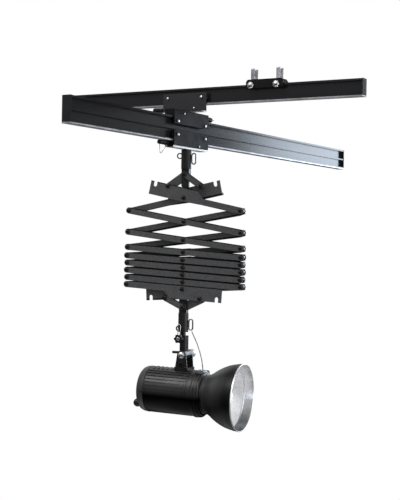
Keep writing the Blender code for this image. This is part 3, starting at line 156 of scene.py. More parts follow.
# as (share of height, share of radius)
BUTTON_PROFILE = ((0, 0), (0, 1), (0.3, 1), (0.7, 0.86), (0.95, 0.62), (1, 0.44), (0.72, 0.4), (0.72, 0))

# rails and carriages
CROSSING_X = -240.0
UPPER_RAIL_BOTTOM = -57.5
LOWER_RAIL_BOTTOM = -159.0
# height of the bright band on each rail's bottom edge: bare metal, and also a painted highlight of the lit
# flange edge
BRIGHT_STRIP = 3.4
PLATE_FACE = 15.5
SCREW_RADIUS = 5.2
SCREW_HEIGHT = 3.2
SMALL_SCREW_RADIUS = 3.1
SMALL_SCREW_HEIGHT = 2.2
UPPER_SCREWS = ((-52.5, -38.2), (52.5, -38.2))
CROSS_SCREWS = ((-72.0, -105.8), (72.0, -105.8))
TROLLEY_SCREWS = ((-72.0, -141.2), (72.0, -141.2))
UPPER_SMALL_SCREW = (30.0, -66.75)
CROSS_SMALL_SCREW = (-40.0, -83.4)
TROLLEY_SMALL_SCREW = (40.0, -165.5)
BAR_HALF_LENGTH_X = 67.0
BAR_HALF_LENGTH_Y = 90.0
BLACK_END_DEPTH = 0.4

# brakes
BRAKE_STANDOFF = 8.0
BRAKE_LENGTH = 31.0
TROLLEY_BRAKE_LENGTH = 44.0
UPPER_BRAKE_Z = -66.75
CROSS_BRAKE_Z = -83.4
TROLLEY_BRAKE_Z = -166.3
UPPER_BRAKE_RADIUS = 7.0
TROLLEY_BRAKE_RADIUS = 5.8
BRAKE_PIN_RADIUS = 3.0
BRAKE_CHAMFER = 0.8
BRAKE_END_CHAMFER = 1.2
BRAKE_DIMPLE_DEPTH = 0.8
BRAKE_DIMPLE_SHARES = (0.45, 0.4)
GROOVE_COUNT = 5
GROOVE_START = 0.3
GROOVE_PITCH = 0.1
# as (along, depth)
GROOVE_PROFILE = ((0, 0), (0.5, 0.7), (1.6, 0.7), (2.1, 0))
BAIL_RADIUS = 1.1
UPPER_BAIL_DROP = 26.0
TROLLEY_BAIL_DROP = 28.0
BAIL_INSET = 5.0
BAIL_TIP_HALF = 2.5
BAIL_SINK = 1.0
BAIL_SHOULDER = 2.0

# saddle
STUD_HALF_X = 36.8
STUD_HALF_Y = 9.5
STUD_HEIGHT = 28.0
STUD_RADIUS = 5.0
STUD_SKIN = 0.2
STUD_POINT = 0.8
STUD_POINT_CHAMFER = 0.6
THREAD_START = 0.4
THREAD_ROOT = 0.1
THREAD_DEPTH = 0.4
THREAD_PITCH = 2.0
THREAD_END_CLEARANCE = 1.0
SET_BOLT_Z = -15.5
SET_BOLT_FACE = -17.8
SET_BOLT_RADIUS = 9.3
SET_BOLT_HEIGHT = 10.0

# hanging group
HANG_TURN = 8.0
TOP_PIVOT_Z = -243.0
ARM_HALF = 166.0
ARM_FACE = 14.0
STAGE_ANGLES = (12.0, 10.1, 7.2, 4.0, 3.4, 3.4, 3.4, 3.4, 3.4)
RHOMB_SIDE = 57.0
RHOMB_OFFSET = 21.8
LINK_FACE = 11.0
LINK_RADIUS = 8.5
LINK_EDGE_INSET = 0.7
LINK_EDGE_RADIUS = 0.9
PIVOT_HEAD_RADIUS = 6.2
PIVOT_HEAD_HEIGHT = 4.4
# painted shade on the arms: widths of the dark line along a front arm's top and of the dark band along a rear
# arm's lower flange
TOP_SHADE_LINE = 2.2
REAR_SHADE_BAND = 4.6
WASHER_THICKNESS = 1.3
# as (start in Y, radius)
WASHERS = ((-2.8, 6.8), (0.6, 6.2))
SPACER_FIRST_STAGE = 3
SPACER_HALF_HEIGHT = 9.6
SPACER_HALF_LENGTH = 14.0
SPACER_LAYER = (5.1, 6.8)
FORK_DROP = 15.5
SOCKET_LENGTH = 51.0
TILT_BELOW_SOCKET = 61.0
TILT_OFFSET = 6.0

# light's housing, measured along its axis from the stem's axis
LIGHT_TILT = 2.0
LIGHT_DROP = 101.0
HOUSING_RADIUS = 62.5
HOUSING_REAR = -110.0
CAP_FRONT = -86.0
HOUSING_FRONT = 49.0
COLLAR_RADIUS = 64.0
COLLAR_FRONT = 72.0
NECK_FRONT = 77.0
NECK_RADIUS = 52.0
RING_RADIUS = 46.0
RING_FRONT = 88.0
# as (forward of the rear, in from the housing's radius)
SHELL_REAR_CURVE = ((0, 14), (2, 9), (6, 4.5), (12, 1.8))
CAP_REAR_CURVE = ((-1.0, 15), (1.2, 8.5), (5.5, 4), (12, 1.2))
CAP_INSIDE = ((8, 6), (8, HOUSING_RADIUS))
# as (from the cap's front, in from the housing's radius)
SEAM_PROFILE = ((-1, 0.4), (0, 1.2), (1, 0.4))
CAP_RIM = ((-2, -0.2), (-1, 0.6), (-1, 3))
# as (from the housing's front, in from the housing's radius)
FRONT_BAND = ((-12, 0.4), (-8, 0.9), (-1, 0.9))
# as (x, in from the collar's radius)
COLLAR_PROFILE = ((HOUSING_FRONT, 1), (HOUSING_FRONT + 1.5, 0), (57, 0), (58, 1.6), (60, 1.6), (61, 0.6),
                  (66, 1.2), (67, 3.4), (69, 3.4))
# as (x, out from the neck's radius)
NECK_PROFILE = ((70, 7), (COLLAR_FRONT, 6), (73, 1), (NECK_FRONT - 1, 0), (NECK_FRONT, -1))
# bars on the shell, as x from and to, degrees from the top, and radii
RIB_X = (-84.0, 36.0)
RIB_FIRST = 28
RIB_STEP = 8.6
RIB_COUNT = 7
RIB_HALF_ANGLE = 2.9
RIB_RADII = (HOUSING_RADIUS - 1.2, HOUSING_RADIUS + 1.1)
SIDE_SEAM = (HOUSING_REAR + 14, HOUSING_FRONT - 14, 91.0, 93.2, HOUSING_RADIUS - 1.0, HOUSING_RADIUS + 0.7)
VENT_FIRST = -78
VENT_STEP = 13
VENT_WIDTH = 6
VENT_COUNT = 6
VENT_ANGLES = (10, 20)
VENT_RADII = (HOUSING_RADIUS - 1.2, HOUSING_RADIUS + 0.6)
LATCHES = ((24, 29, 84, 88, HOUSING_RADIUS - 1, HOUSING_RADIUS + 2.4),
           (32, 37, 84, 88, HOUSING_RADIUS - 1, HOUSING_RADIUS + 2.4),
           (54, 68, 20, 30, COLLAR_RADIUS - 4, COLLAR_RADIUS + 1.6))
KNOB_DROP = 42.0
KNOB_RADIUS = 11.5
KNOB_CENTRE = -127.0
# as (forward of the rear, radius)
KNOB_NECK = ((4, 0), (4, 8.0), (-2, 7.0), (-6, 6.0))

# light's reflector and dome
# as (from the neck, out from the neck's radius)
BOWL_CURVE = ((0.0, 0.0), (6.0, 1.0), (18.0, 7.5), (28.0, 15.0), (39.0, 21.8), (51.0, 27.7), (64.0, 32.6),
              (80.0, 36.3))
BOWL_RADIUS = 90.0
BOWL_FRONT = 177.0
BOWL_SMOOTHING = (-2, 0, 2)
BOWL_START_GAP = 0.3
BOWL_STEP_BACK = 15.0
BOWL_EDGE_BACK = 4.0
BOWL_OUTER_INSET = 0.6
BOWL_SHELL_WALL = 1.3
BOWL_STEP_WIDTH = 1.0
BOWL_STEP_MIDDLE = 0.6
LINING_INSET = 2.0
LINING_START = 1.0
LINING_FOOT = 0.5
LINING_BACK = (-0.3, 0.4)
LIP_DEPTH = 26.0
LIP_INSET = 1.5
# as (from the lip's start, out from the lip's radius)
LIP_INSIDE = ((-1.2, -1.6), (0, -1.7), (0.8, -0.2))
LIP_OUTSIDE = ((2, 0.1), (-1.2, -0.4))
# as (behind the bowl's front, radius)
RIM_PROFILE = ((2, 88.0), (0.6, 88.2), (0, 89.2), (0.6, 90.2), (2.6, 90.4), (3.6, 89.6), (3.9, 88.4))
DOME_RADIUS = 17.0
DOME_FRONT = 149.0
# as (before the ring's front, out from the dome's radius)
DOME_FOOT = ((0.3, 2), (3, 2), (3, 0))
PLATE_LEVELS = (-0.6, 0.9)
PLATE_MIDDLE = 0.2
PLATE_EDGE = 0.5
PLATE_HOLE = 2.4

# tilt bracket, as (along, radius) where a profile is given
YOKE_INSIDE = 20.0
EAR_THICKNESS = 4.0
TILT_FACE_GAP = 0.3
TILT_WASHER_RADIUS = 10.2
TILT_WASHER_THICKNESS = 1.2
TILT_WASHER_SINK = 0.2
TILT_HEAD_GAP = 1.0
TILT_HEAD_RADIUS = 8.4
TILT_HEAD_HEIGHT = 5.4
TILT_SHAFT_RADIUS = 3.9
GRIP_PROFILE = ((0, 0), (0, 8.0), (3, 8.2), (8, 9.4), (11, 11.2), (13, 11.6), (25.0, 11.6), (27.0, 10.8),
                (28, 9.0), (28, 0))
YOKE_BOLT_Z = -25.0
YOKE_BOLT_PROFILE = ((0, 0), (0, 6.4), (1.0, 6.4), (1.6, 5.6), (1.6, 3.0), (0.9, 2.6), (0.9, 0))
YOKE_SCREW_X = 11
YOKE_SCREW_Z = -33.5
YOKE_SCREW_RADIUS = 2.2
YOKE_SCREW_HEIGHT = 1.4

# stem
CLAMP_KNOB_X = -4.0
CLAMP_KNOB_RISE = 43.0
INSERT_FACE = -26.4
INSERT_PROFILE = ((0, 0), (0, 5.2), (1.0, 5.0), (1.6, 4.2), (1.6, 2.4), (0.8, 2.2), (0.8, 0))
HOOK_X = -5.0
HOOK_Y = -17.0
HOOK_RISE = 6.0
HOOK_RADIUS = 3.4
HOOK_HALF_LENGTH = 11.0
HOOK_WIRE_RADIUS = 1.2

# safety cable, the same route as in the part's source; it ends just above the collar
CABLE_RADIUS = 1.5
CABLE_ROUTE = ((19.0, 63.2), (26.0, 49.0), (33.5, 34.5), (40.0, 18.5), (45.5, 2.0), (50.0, -15.0),
               (53.5, -29.0))
CABLE_POINTS = 24
CABLE_END_GAP = 0.6


def rad(degrees):
    return math.radians(degrees)


def stage_centres():
    """Centre of each stage's arms in the hanging group, as (x of the front arm, z)."""
    x = 0.0
    z = TOP_PIVOT_Z - 2 * RHOMB_SIDE * math.sin(rad(STAGE_ANGLES[0] + RHOMB_OFFSET))
    centres = [(x, z)]
    side = 1
    for upper, lower in zip(STAGE_ANGLES, STAGE_ANGLES[1:]):
        x += side * ARM_HALF * (math.cos(rad(upper)) - math.cos(rad(lower)))
        z -= ARM_HALF * (math.sin(rad(upper)) + math.sin(rad(lower)))
        centres.append((x, z))
        side = -side
    return centres


def shift(x, y, z):
    return Matrix.Translation((x * MM, y * MM, z * MM))


CENTRES = stage_centres()
BOTTOM_PIVOT_X = CENTRES[-1][0]
BOTTOM_PIVOT_Z = CENTRES[-1][1] - 2 * RHOMB_SIDE * math.sin(rad(STAGE_ANGLES[-1] + RHOMB_OFFSET))
SOCKET_BOTTOM_Z = BOTTOM_PIVOT_Z - FORK_DROP - SOCKET_LENGTH
TILT_AXIS_Z = SOCKET_BOTTOM_Z - TILT_BELOW_SOCKET

HANG = shift(CROSSING_X, 0, 0) @ Matrix.Rotation(rad(HANG_TURN), 4, "Z")
TILT = HANG @ shift(BOTTOM_PIVOT_X + TILT_OFFSET, 0, TILT_AXIS_Z) @ Matrix.Rotation(rad(LIGHT_TILT), 4, "Y")
LIGHT = TILT @ shift(-TILT_OFFSET, 0, -LIGHT_DROP)
LIGHT_UP = LIGHT.to_3x3() @ Vector((0, 0, 1))
LIGHT_LEVEL = -LIGHT.translation.dot(LIGHT_UP) / MM
LIGHT_AXIS = LIGHT.to_3x3() @ Vector((1, 0, 0))
LIGHT_START = LIGHT.translation.dot(LIGHT_AXIS) / MM


# materials

def grey(value):
    return (value, value, value, 1.0)


def noise(tree, vector, scale, detail=3.0):
    node = tree.nodes.new("ShaderNodeTexNoise")
    node.inputs["Scale"].default_value = scale
    node.inputs["Detail"].default_value = detail
    tree.links.new(vector, node.inputs["Vector"])
    return node.outputs["Fac"]


def spread(tree, value, low, high, start=0.3, end=0.7):
    """A value between start and end turned into the range from low to high."""
    node = tree.nodes.new("ShaderNodeMapRange")
    node.inputs["From Min"].default_value = start
    node.inputs["From Max"].default_value = end
    node.inputs["To Min"].default_value = low
    node.inputs["To Max"].default_value = high
    tree.links.new(value, node.inputs["Value"])
    return node.outputs["Result"]


def surface(tree, dark, pale, rough, metallic=0.0, specular=0.5, tone=18.0, grain=900.0, bump=0.00008,
            stretch=(1.0, 1.0, 1.0), coat=0.0, flecks=0.0):
    """A shader whose colour, roughness and height vary finely over the surface."""
    place = tree.nodes.new("ShaderNodeTexCoord")
    mapping = tree.nodes.new("ShaderNodeMapping")
    mapping.inputs["Scale"].default_value = stretch
    tree.links.new(place.outputs["Object"], mapping.inputs["Vector"])
    vector = mapping.outputs["Vector"]
    ramp = tree.nodes.new("ShaderNodeValToRGB")
    for element, position, colour in zip(ramp.color_ramp.elements, RAMP_ENDS, (dark, pale)):
        element.position = position
        element.color = (*colour, 1.0)
    fine = noise(tree, vector, grain)
    if flecks:
        ramp.color_ramp.elements.new(FLECK_START).color = grey(flecks)
        tree.links.new(fine, ramp.inputs["Fac"])
    else:
        tree.links.new(noise(tree, vector, tone), ramp.inputs["Fac"])
    relief = tree.nodes.new("ShaderNodeBump")
    relief.inputs["Strength"].default_value = RELIEF_STRENGTH
    relief.inputs["Distance"].default_value = bump
    tree.links.new(fine, relief.inputs["Height"])
    shader = tree.nodes.new("ShaderNodeBsdfPrincipled")
    shader.inputs["Metallic"].default_value = metallic
    shader.inputs["Specular IOR Level"].default_value = specular
    shader.inputs["Coat Weight"].default_value = coat
    tree.links.new(ramp.outputs["Color"], shader.inputs["Base Color"])
    low, high = (rough * share for share in ROUGH_RANGE)
    uneven = spread(tree, noise(tree, vector, tone * ROUGH_GRAIN), low, high)
    tree.links.new(uneven, shader.inputs["Roughness"])
    tree.links.new(relief.outputs["Normal"], shader.inputs["Normal"])
    return shader.outputs["BSDF"]


def level_mask(direction, level, softness=MASK_SOFTNESS):
    """A mask maker: 1 beyond a level along a direction, in millimetres of the rest pose, and 0 before it."""
    def mask(tree):
        place = tree.nodes.new("ShaderNodeTexCoord")
        along = tree.nodes.new("ShaderNodeVectorMath")
        along.operation = "DOT_PRODUCT"
        along.inputs[1].default_value = direction
        tree.links.new(place.outputs["Object"], along.inputs[0])
        ends = ((level - softness) * MM, (level + softness) * MM)
        return spread(tree, along.outputs["Value"], 0.0, 1.0, *ends)
    return mask


def make_finish(name, look, bands=()):
    """A material of one look, with other looks over it where their masks are 1.

    Each band is (look, mask maker), and the maker is called with the node tree.
    """
    material = bpy.data.materials.new(name)
    material.use_nodes = True
    tree = material.node_tree
    tree.nodes.clear()
    shader = surface(tree, **look)
    for band_look, mask in bands:
        mix = tree.nodes.new("ShaderNodeMixShader")
        tree.links.new(mask(tree), mix.inputs["Fac"])
        tree.links.new(shader, mix.inputs[1])
        tree.links.new(surface(tree, **band_look), mix.inputs[2])
        shader = mix.outputs["Shader"]
    output = tree.nodes.new("ShaderNodeOutputMaterial")
    tree.links.new(shader, output.inputs["Surface"])
    return material


def hammered_finish():
    """Bright reflector metal covered in small dimples."""
    material = bpy.data.materials.new("bowl_inside")
    material.use_nodes = True
    tree = material.node_tree
    shader = tree.nodes["Principled BSDF"]
    shader.inputs["Metallic"].default_value = DIMPLE_METALLIC
    place = tree.nodes.new("ShaderNodeTexCoord")
    cells = tree.nodes.new("ShaderNodeTexVoronoi")
    cells.feature = "SMOOTH_F1"
    cells.inputs["Scale"].default_value = DIMPLE_SCALE
    tree.links.new(place.outputs["Object"], cells.inputs["Vector"])
    relief = tree.nodes.new("ShaderNodeBump")
    relief.inputs["Strength"].default_value = DIMPLE_STRENGTH
    relief.inputs["Distance"].default_value = DIMPLE_DEPTH
    tree.links.new(cells.outputs["Distance"], relief.inputs["Height"])
    tree.links.new(relief.outputs["Normal"], shader.inputs["Normal"])
    uneven = spread(tree, cells.outputs["Distance"], *DIMPLE_ROUGHNESS, 0.0, DIMPLE_EDGE)
    tree.links.new(uneven, shader.inputs["Roughness"])
    ramp = tree.nodes.new("ShaderNodeValToRGB")
    for element, colour in zip(ramp.color_ramp.elements, DIMPLE_COLOURS):
        element.color = colour
    tree.links.new(cells.outputs["Distance"], ramp.inputs["Fac"])
    tree.links.new(ramp.outputs["Color"], shader.inputs["Base Color"])
    return material


RAIL_LOOK = dict(dark=(0.008, 0.008, 0.009), pale=(0.013, 0.013, 0.0145), rough=0.17, specular=0.34,
                 tone=14.0, grain=500.0, bump=0.00004)
STRIP_LOOK = dict(dark=(0.3, 0.3, 0.31), pale=(0.48, 0.48, 0.5), rough=0.34, metallic=0.8, tone=30.0,
                  grain=700.0, bump=0.00004)
POWDER_LOOK = dict(dark=(0.012, 0.012, 0.013), pale=(0.034, 0.034, 0.036), rough=0.5, specular=0.2,
                   grain=900.0, bump=0.00012, flecks=0.07)
ARM_LOOK = dict(dark=(0.03, 0.03, 0.031), pale=(0.085, 0.085, 0.087), rough=0.55, specular=0.25,
                grain=620.0, bump=0.00016, flecks=0.16)
# near black: blackened bolts and black ends, and the painted shade on the arms
BLACK_AND_SHADE_LOOK = dict(dark=(0.002, 0.002, 0.002), pale=(0.004, 0.004, 0.004), rough=0.5, specular=0.12,
                 grain=900.0)
ALUMINIUM_LOOK = dict(dark=(0.62, 0.62, 0.63), pale=(0.78, 0.78, 0.79), rough=0.34, metallic=0.7, tone=40.0,
                      grain=1100.0, bump=0.00008)
STEEL_LOOK = dict(dark=(0.5, 0.5, 0.5), pale=(0.72, 0.72, 0.71), rough=0.2, metallic=1.0, tone=60.0,
                  grain=900.0, bump=0.00003)
GREY_STEEL_LOOK = dict(dark=(0.1, 0.1, 0.105), pale=(0.2, 0.2, 0.205), rough=0.32, metallic=0.9, tone=60.0,
                       grain=900.0)
CABLE_LOOK = GREY_STEEL_LOOK | dict(dark=(0.16, 0.16, 0.165), pale=(0.4, 0.4, 0.41), stretch=(1.0, 1.0, 0.45),
                                    tone=900.0, grain=1400.0, bump=0.0003)
PLASTIC_LOOK = dict(dark=(0.005, 0.005, 0.0055), pale=(0.01, 0.01, 0.011), rough=0.36, specular=0.3,
                    tone=25.0, grain=1800.0, bump=0.00006)
HOUSING_LOOK = dict(dark=(0.01, 0.01, 0.011), pale=(0.018, 0.018, 0.0195), rough=0.32, specular=0.4,
                    tone=12.0, grain=1600.0, bump=0.00004)
BOWL_LOOK = dict(dark=(0.034, 0.034, 0.035), pale=(0.05, 0.05, 0.052), rough=0.38, specular=0.5, tone=14.0,
                 grain=1500.0, bump=0.00005)
# painted shade: near black with little gloss, laid over the lower housing, the lower bowl and the bowl's
# front
PAINTED_SHADE_LOOK = dict(dark=(0.0006, 0.0006, 0.0006), pale=(0.0012, 0.0012, 0.0013), rough=0.2,
                        specular=0.05, tone=14.0, grain=1500.0, bump=0.00003)
ROLLER_LOOK = dict(dark=(0.02, 0.02, 0.021), pale=(0.04, 0.04, 0.041), rough=0.45, specular=0.3, tone=60.0,
                   grain=900.0)
GLASS_LOOK = dict(dark=(0.82, 0.82, 0.81), pale=(0.9, 0.9, 0.89), rough=0.42, tone=40.0, grain=900.0,
                  bump=0.00005, coat=0.2)

DOWN = (0.0, 0.0, -1.0)
NEAR = (0.0, -1.0, 0.0)
LIGHT_DOWN = tuple(-LIGHT_UP)

# the bright band along each rail's bottom edge is bare metal and also a painted highlight of the lit flange
# edge
UPPER_RAIL_FINISH = make_finish("upper_rail_finish", RAIL_LOOK | dict(stretch=(RAIL_STREAK, 1.0, 1.0)), [
    (STRIP_LOOK, level_mask(DOWN, -(UPPER_RAIL_BOTTOM + BRIGHT_STRIP)))])
LOWER_RAIL_FINISH = make_finish("lower_rail_finish", RAIL_LOOK | dict(stretch=(1.0, RAIL_STREAK, 1.0)), [
    (STRIP_LOOK, level_mask(DOWN, -(LOWER_RAIL_BOTTOM + BRIGHT_STRIP)))])
POWDER = make_finish("powder_coat", POWDER_LOOK)
DARK_POWDER = make_finish("dark_powder_coat", POWDER_LOOK | dict(
    dark=(0.005, 0.005, 0.0055), pale=(0.012, 0.012, 0.013), specular=0.06, flecks=0.035))
STEEL = make_finish("plated_steel", STEEL_LOOK)
GREY_STEEL = make_finish("grey_steel", GREY_STEEL_LOOK)
STRIP = make_finish("zinc_plating", STRIP_LOOK)
ALUMINIUM = make_finish("satin_aluminium", ALUMINIUM_LOOK)
# painted shade: the lip turns darker grey below the light's axis
LIP_METAL = make_finish("polished_lip", ALUMINIUM_LOOK | dict(rough=0.22, grain=300.0, bump=0.00002), [
    (GREY_STEEL_LOOK | dict(dark=(0.2, 0.2, 0.2), pale=(0.3, 0.3, 0.3)),
     level_mask(LIGHT_DOWN, LIGHT_LEVEL + LIP_SHADE, LIP_SHADE_SOFTNESS))])
SATIN_KNOB = make_finish("satin_knob", ALUMINIUM_LOOK | dict(
    metallic=0.35, dark=(0.4, 0.4, 0.41), pale=(0.52, 0.52, 0.53)))
BLACK_END_ALUMINIUM = make_finish("black_ended_aluminium", ALUMINIUM_LOOK, [
    (BLACK_AND_SHADE_LOOK, level_mask(NEAR, BAR_HALF_LENGTH_Y - BLACK_END_DEPTH))])
PLASTIC = make_finish("black_plastic", PLASTIC_LOOK)
BOLT_BLACK = make_finish("blackened_bolt", BLACK_AND_SHADE_LOOK | dict(rough=0.28, specular=0.3))
ROLLER = make_finish("roller", ROLLER_LOOK)
# painted shade: the shell turns near black below the light's axis
HOUSING = make_finish("housing_shell", HOUSING_LOOK, [
    (PAINTED_SHADE_LOOK, level_mask(LIGHT_DOWN, LIGHT_LEVEL + HOUSING_SHADE, HOUSING_SHADE_SOFTNESS))])
# painted sheen: the rear cap is a paler copy of the housing's black
HOUSING_CAP_SHEEN = make_finish("housing_cap", HOUSING_LOOK | dict(
    dark=(0.022, 0.022, 0.023), pale=(0.032, 0.032, 0.034)))
# painted shade: the bowl's outside turns darker below the light's axis and towards its rim
BOWL_BLACK = make_finish("bowl_outside", BOWL_LOOK, [
    (PAINTED_SHADE_LOOK | dict(rough=0.35, specular=0.12),
     level_mask(LIGHT_DOWN, LIGHT_LEVEL + BOWL_SHADE, BOWL_SHADE_SOFTNESS)),
    (PAINTED_SHADE_LOOK | dict(rough=0.35, specular=0.2),
     level_mask(tuple(LIGHT_AXIS), LIGHT_START + BOWL_FRONT_SHADE_X, BOWL_FRONT_SHADE_SOFTNESS))])
HAMMERED = hammered_finish()
GLASS = make_finish("frosted_glass", GLASS_LOOK)


# mesh making

def link(name, data):
    item = bpy.data.objects.new(name, data)
    bpy.context.scene.collection.objects.link(item)
    return item


def ride(piece, body):
    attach(piece, body)
    return piece


def finish_piece(name, bm, material, body, place=None, angle=SHARP_ANGLE):
    """Turns a bmesh in millimetres into a piece that rides on a body."""
    bm.transform(Matrix.Scale(MM, 4))
    if place is not None:
        bm.transform(place)
    bmesh.ops.recalc_face_normals(bm, faces=bm.faces)
    mesh = bpy.data.meshes.new(name)
    bm.to_mesh(mesh)
    bm.free()
    for polygon in mesh.polygons:
        polygon.use_smooth = True
    mesh.set_sharp_from_angle(angle=rad(angle))
    mesh.materials.append(material)
    return ride(link(name, mesh), body)


def lathe(bm, profile, steps=ROUND_STEPS, place=None, closed=False):
    """Turns a profile of (along X, radius) about X; ends at radius 0 close it."""
    rings = []
    for x, r in profile:
        if r < TINY:
            rings.append([bm.verts.new((x, 0, 0))])
            continue
        angles = [2 * math.pi * i / steps for i in range(steps)]
        rings.append([bm.verts.new((x, r * math.cos(angle), r * math.sin(angle))) for angle in angles])
    pairs = list(zip(rings, rings[1:]))
    if closed:
        pairs.append((rings[-1], rings[0]))
    for a, b in pairs:
        for i in range(steps):
            j = (i + 1) % steps
            corners = [a[i % len(a)], a[j % len(a)], b[j % len(b)], b[i % len(b)]]
            unique = list(dict.fromkeys(corners))
            if len(unique) > 2:
                bm.faces.new(unique)
    if place is not None:
        verts = [v for ring in rings for v in ring]
        bmesh.ops.transform(bm, matrix=place, verts=verts)


def disc(bm, place, radius, thickness, steps=BARREL_STEPS):
    """A round plate or pin that starts at the origin and points along X."""
    lathe(bm, [(0, 0), (0, radius), (thickness, radius), (thickness, 0)], steps, place)


def aim(axis, x, y, z):
    """A placement in millimetres that turns X to point along an axis."""
    turn = Vector((1, 0, 0)).rotation_difference(Vector(axis)).to_matrix().to_4x4()
    return Matrix.Translation((x, y, z)) @ turn


def prism(bm, outline, low, high):
    """A solid between two Y values with an (x, z) outline."""
    near = [bm.verts.new((x, low, z)) for x, z in outline]
    far = [bm.verts.new((x, high, z)) for x, z in outline]
    bm.faces.new(near)
    bm.faces.new(far[::-1])
    for i in range(len(outline)):
        j = (i + 1) % len(outline)
        bm.faces.new((near[j], near[i], far[i], far[j]))


def wire(name, points, radius, material, place=None, closed=False):
    """The curve of a round wire through points in millimetres."""
    curve = bpy.data.curves.new(name, "CURVE")
    curve.dimensions = "3D"
    curve.bevel_depth = radius * MM
    curve.bevel_resolution = WIRE_FACETS
    curve.use_fill_caps = True
    spline = curve.splines.new("POLY")
    spline.points.add(len(points) - 1)
    for spot, point in zip(spline.points, points):
        where = Vector(point) * MM
        spot.co = (*(place @ where if place is not None else where), 1.0)
    spline.use_cyclic_u = closed
    curve.materials.append(material)
    return link(name, curve)


def as_mesh(curve_piece):
    """The mesh of a wire's curve."""
    graph = bpy.context.evaluated_depsgraph_get()
    mesh = bpy.data.meshes.new_from_object(curve_piece.evaluated_get(graph), depsgraph=graph)
    name, curve = curve_piece.name, curve_piece.data
    bpy.data.objects.remove(curve_piece)
    bpy.data.curves.remove(curve)
    mesh.name = name
    for polygon in mesh.polygons:
        polygon.use_smooth = True
    return link(name, mesh)


def domed_hex(bm, place, radius, height):
    """A hex screw head with a domed top, pointing along X."""
    flat = height * HEX_FLAT
    lathe(bm, [(0, 0), (0, radius), (flat, radius),
               (flat + HEX_CHAMFER_HEIGHT * height, radius * HEX_CHAMFER_RADIUS), (flat, 0)], 6, place)
    dome = [(flat - HEX_DOME_SINK, 0), (flat - HEX_DOME_SINK, radius * HEX_DOME_RADIUS)]
    dome += [(flat + (height - flat) * math.sin(rad(a)), radius * HEX_DOME_RADIUS * math.cos(rad(a)))
             for a in HEX_DOME_ANGLES]
    dome.append((height, 0))
    lathe(bm, dome, HEAD_STEPS, place)


def button_head(bm, place, radius, height):
    """A round button head with a socket, pointing along X."""
    lathe(bm, [(height * along, radius * out) for along, out in BUTTON_PROFILE], HEAD_STEPS, place)


def arc(x, z, radius, start, end, steps):
    angles = [rad(start + (end - start) * i / steps) for i in range(steps + 1)]
    return [(x + radius * math.cos(angle), z + radius * math.sin(angle)) for angle in angles]


def paint(node, material):
    NODES[node].data.materials.clear()
    NODES[node].data.materials.append(material)


# camera, light and floor

def facing(direction):
    """The turn that points a camera or lamp along a direction."""
    return direction.to_track_quat("-Z", "Y").to_matrix().to_4x4()


def set_camera():
    camera = link("camera", bpy.data.cameras.new("camera"))
    camera.data.sensor_fit = "VERTICAL"
    camera.data.sensor_height = SENSOR_HEIGHT
    camera.data.lens = LENS
    look = Vector((-math.sin(rad(CAMERA_AZIMUTH)), math.cos(rad(CAMERA_AZIMUTH)), 0))
    roll = Matrix.Rotation(rad(CAMERA_ROLL), 4, look)
    camera.matrix_world = Matrix.Translation(CAMERA_PLACE) @ roll @ facing(look)
    bpy.context.scene.camera = camera


def area_light(name, place, target, width, height, power, colour):
    lamp = bpy.data.lights.new(name, "AREA")
    lamp.color = colour
    lamp.shape = "RECTANGLE"
    lamp.size = width
    lamp.size_y = height
    lamp.energy = power
    item = link(name, lamp)
    item.matrix_world = Matrix.Translation(place) @ facing(Vector(target) - Vector(place))
    item.visible_camera = False


def set_world():
    """A white background for the camera, soft grey light, and a gradient from dark to white in gloss."""
    bpy.context.scene.view_settings.view_transform = "Standard"
    world = bpy.data.worlds.new("studio")
    bpy.context.scene.world = world
    world.use_nodes = True
    tree = world.node_tree
    tree.nodes.clear()
    path = tree.nodes.new("ShaderNodeLightPath")
    place = tree.nodes.new("ShaderNodeTexCoord")
    parts = tree.nodes.new("ShaderNodeSeparateXYZ")
    tree.links.new(place.outputs["Generated"], parts.inputs["Vector"])
    height = spread(tree, parts.outputs["Z"], 0.0, 1.0, -1.0, 1.0)
    ramp = tree.nodes.new("ShaderNodeValToRGB")
    levels = ramp.color_ramp.elements
    for element, (position, value) in zip(levels, (GLOSS_LEVELS[0], GLOSS_LEVELS[-1])):
        element.position = position
        element.color = grey(value)
    for position, value in GLOSS_LEVELS[1:-1]:
        levels.new(position).color = grey(value)
    tree.links.new(height, ramp.inputs["Fac"])
    soft = tree.nodes.new("ShaderNodeBackground")
    soft.inputs["Color"].default_value = SOFT_GREY
    white = tree.nodes.new("ShaderNodeBackground")
    white.inputs["Color"].default_value = grey(1.0)
    mirrored = tree.nodes.new("ShaderNodeBackground")
    tree.links.new(ramp.outputs["Color"], mirrored.inputs["Color"])
    shader = soft.outputs["Background"]
    kinds = (("Is Glossy Ray", mirrored), ("Is Transmission Ray", white), ("Is Camera Ray", white))
    for rays, other in kinds:
        mix = tree.nodes.new("ShaderNodeMixShader")
        tree.links.new(path.outputs[rays], mix.inputs["Fac"])
        tree.links.new(shader, mix.inputs[1])
        tree.links.new(other.outputs["Background"], mix.inputs[2])
        shader = mix.outputs["Shader"]
    output = tree.nodes.new("ShaderNodeOutputWorld")
    tree.links.new(shader, output.inputs["Surface"])


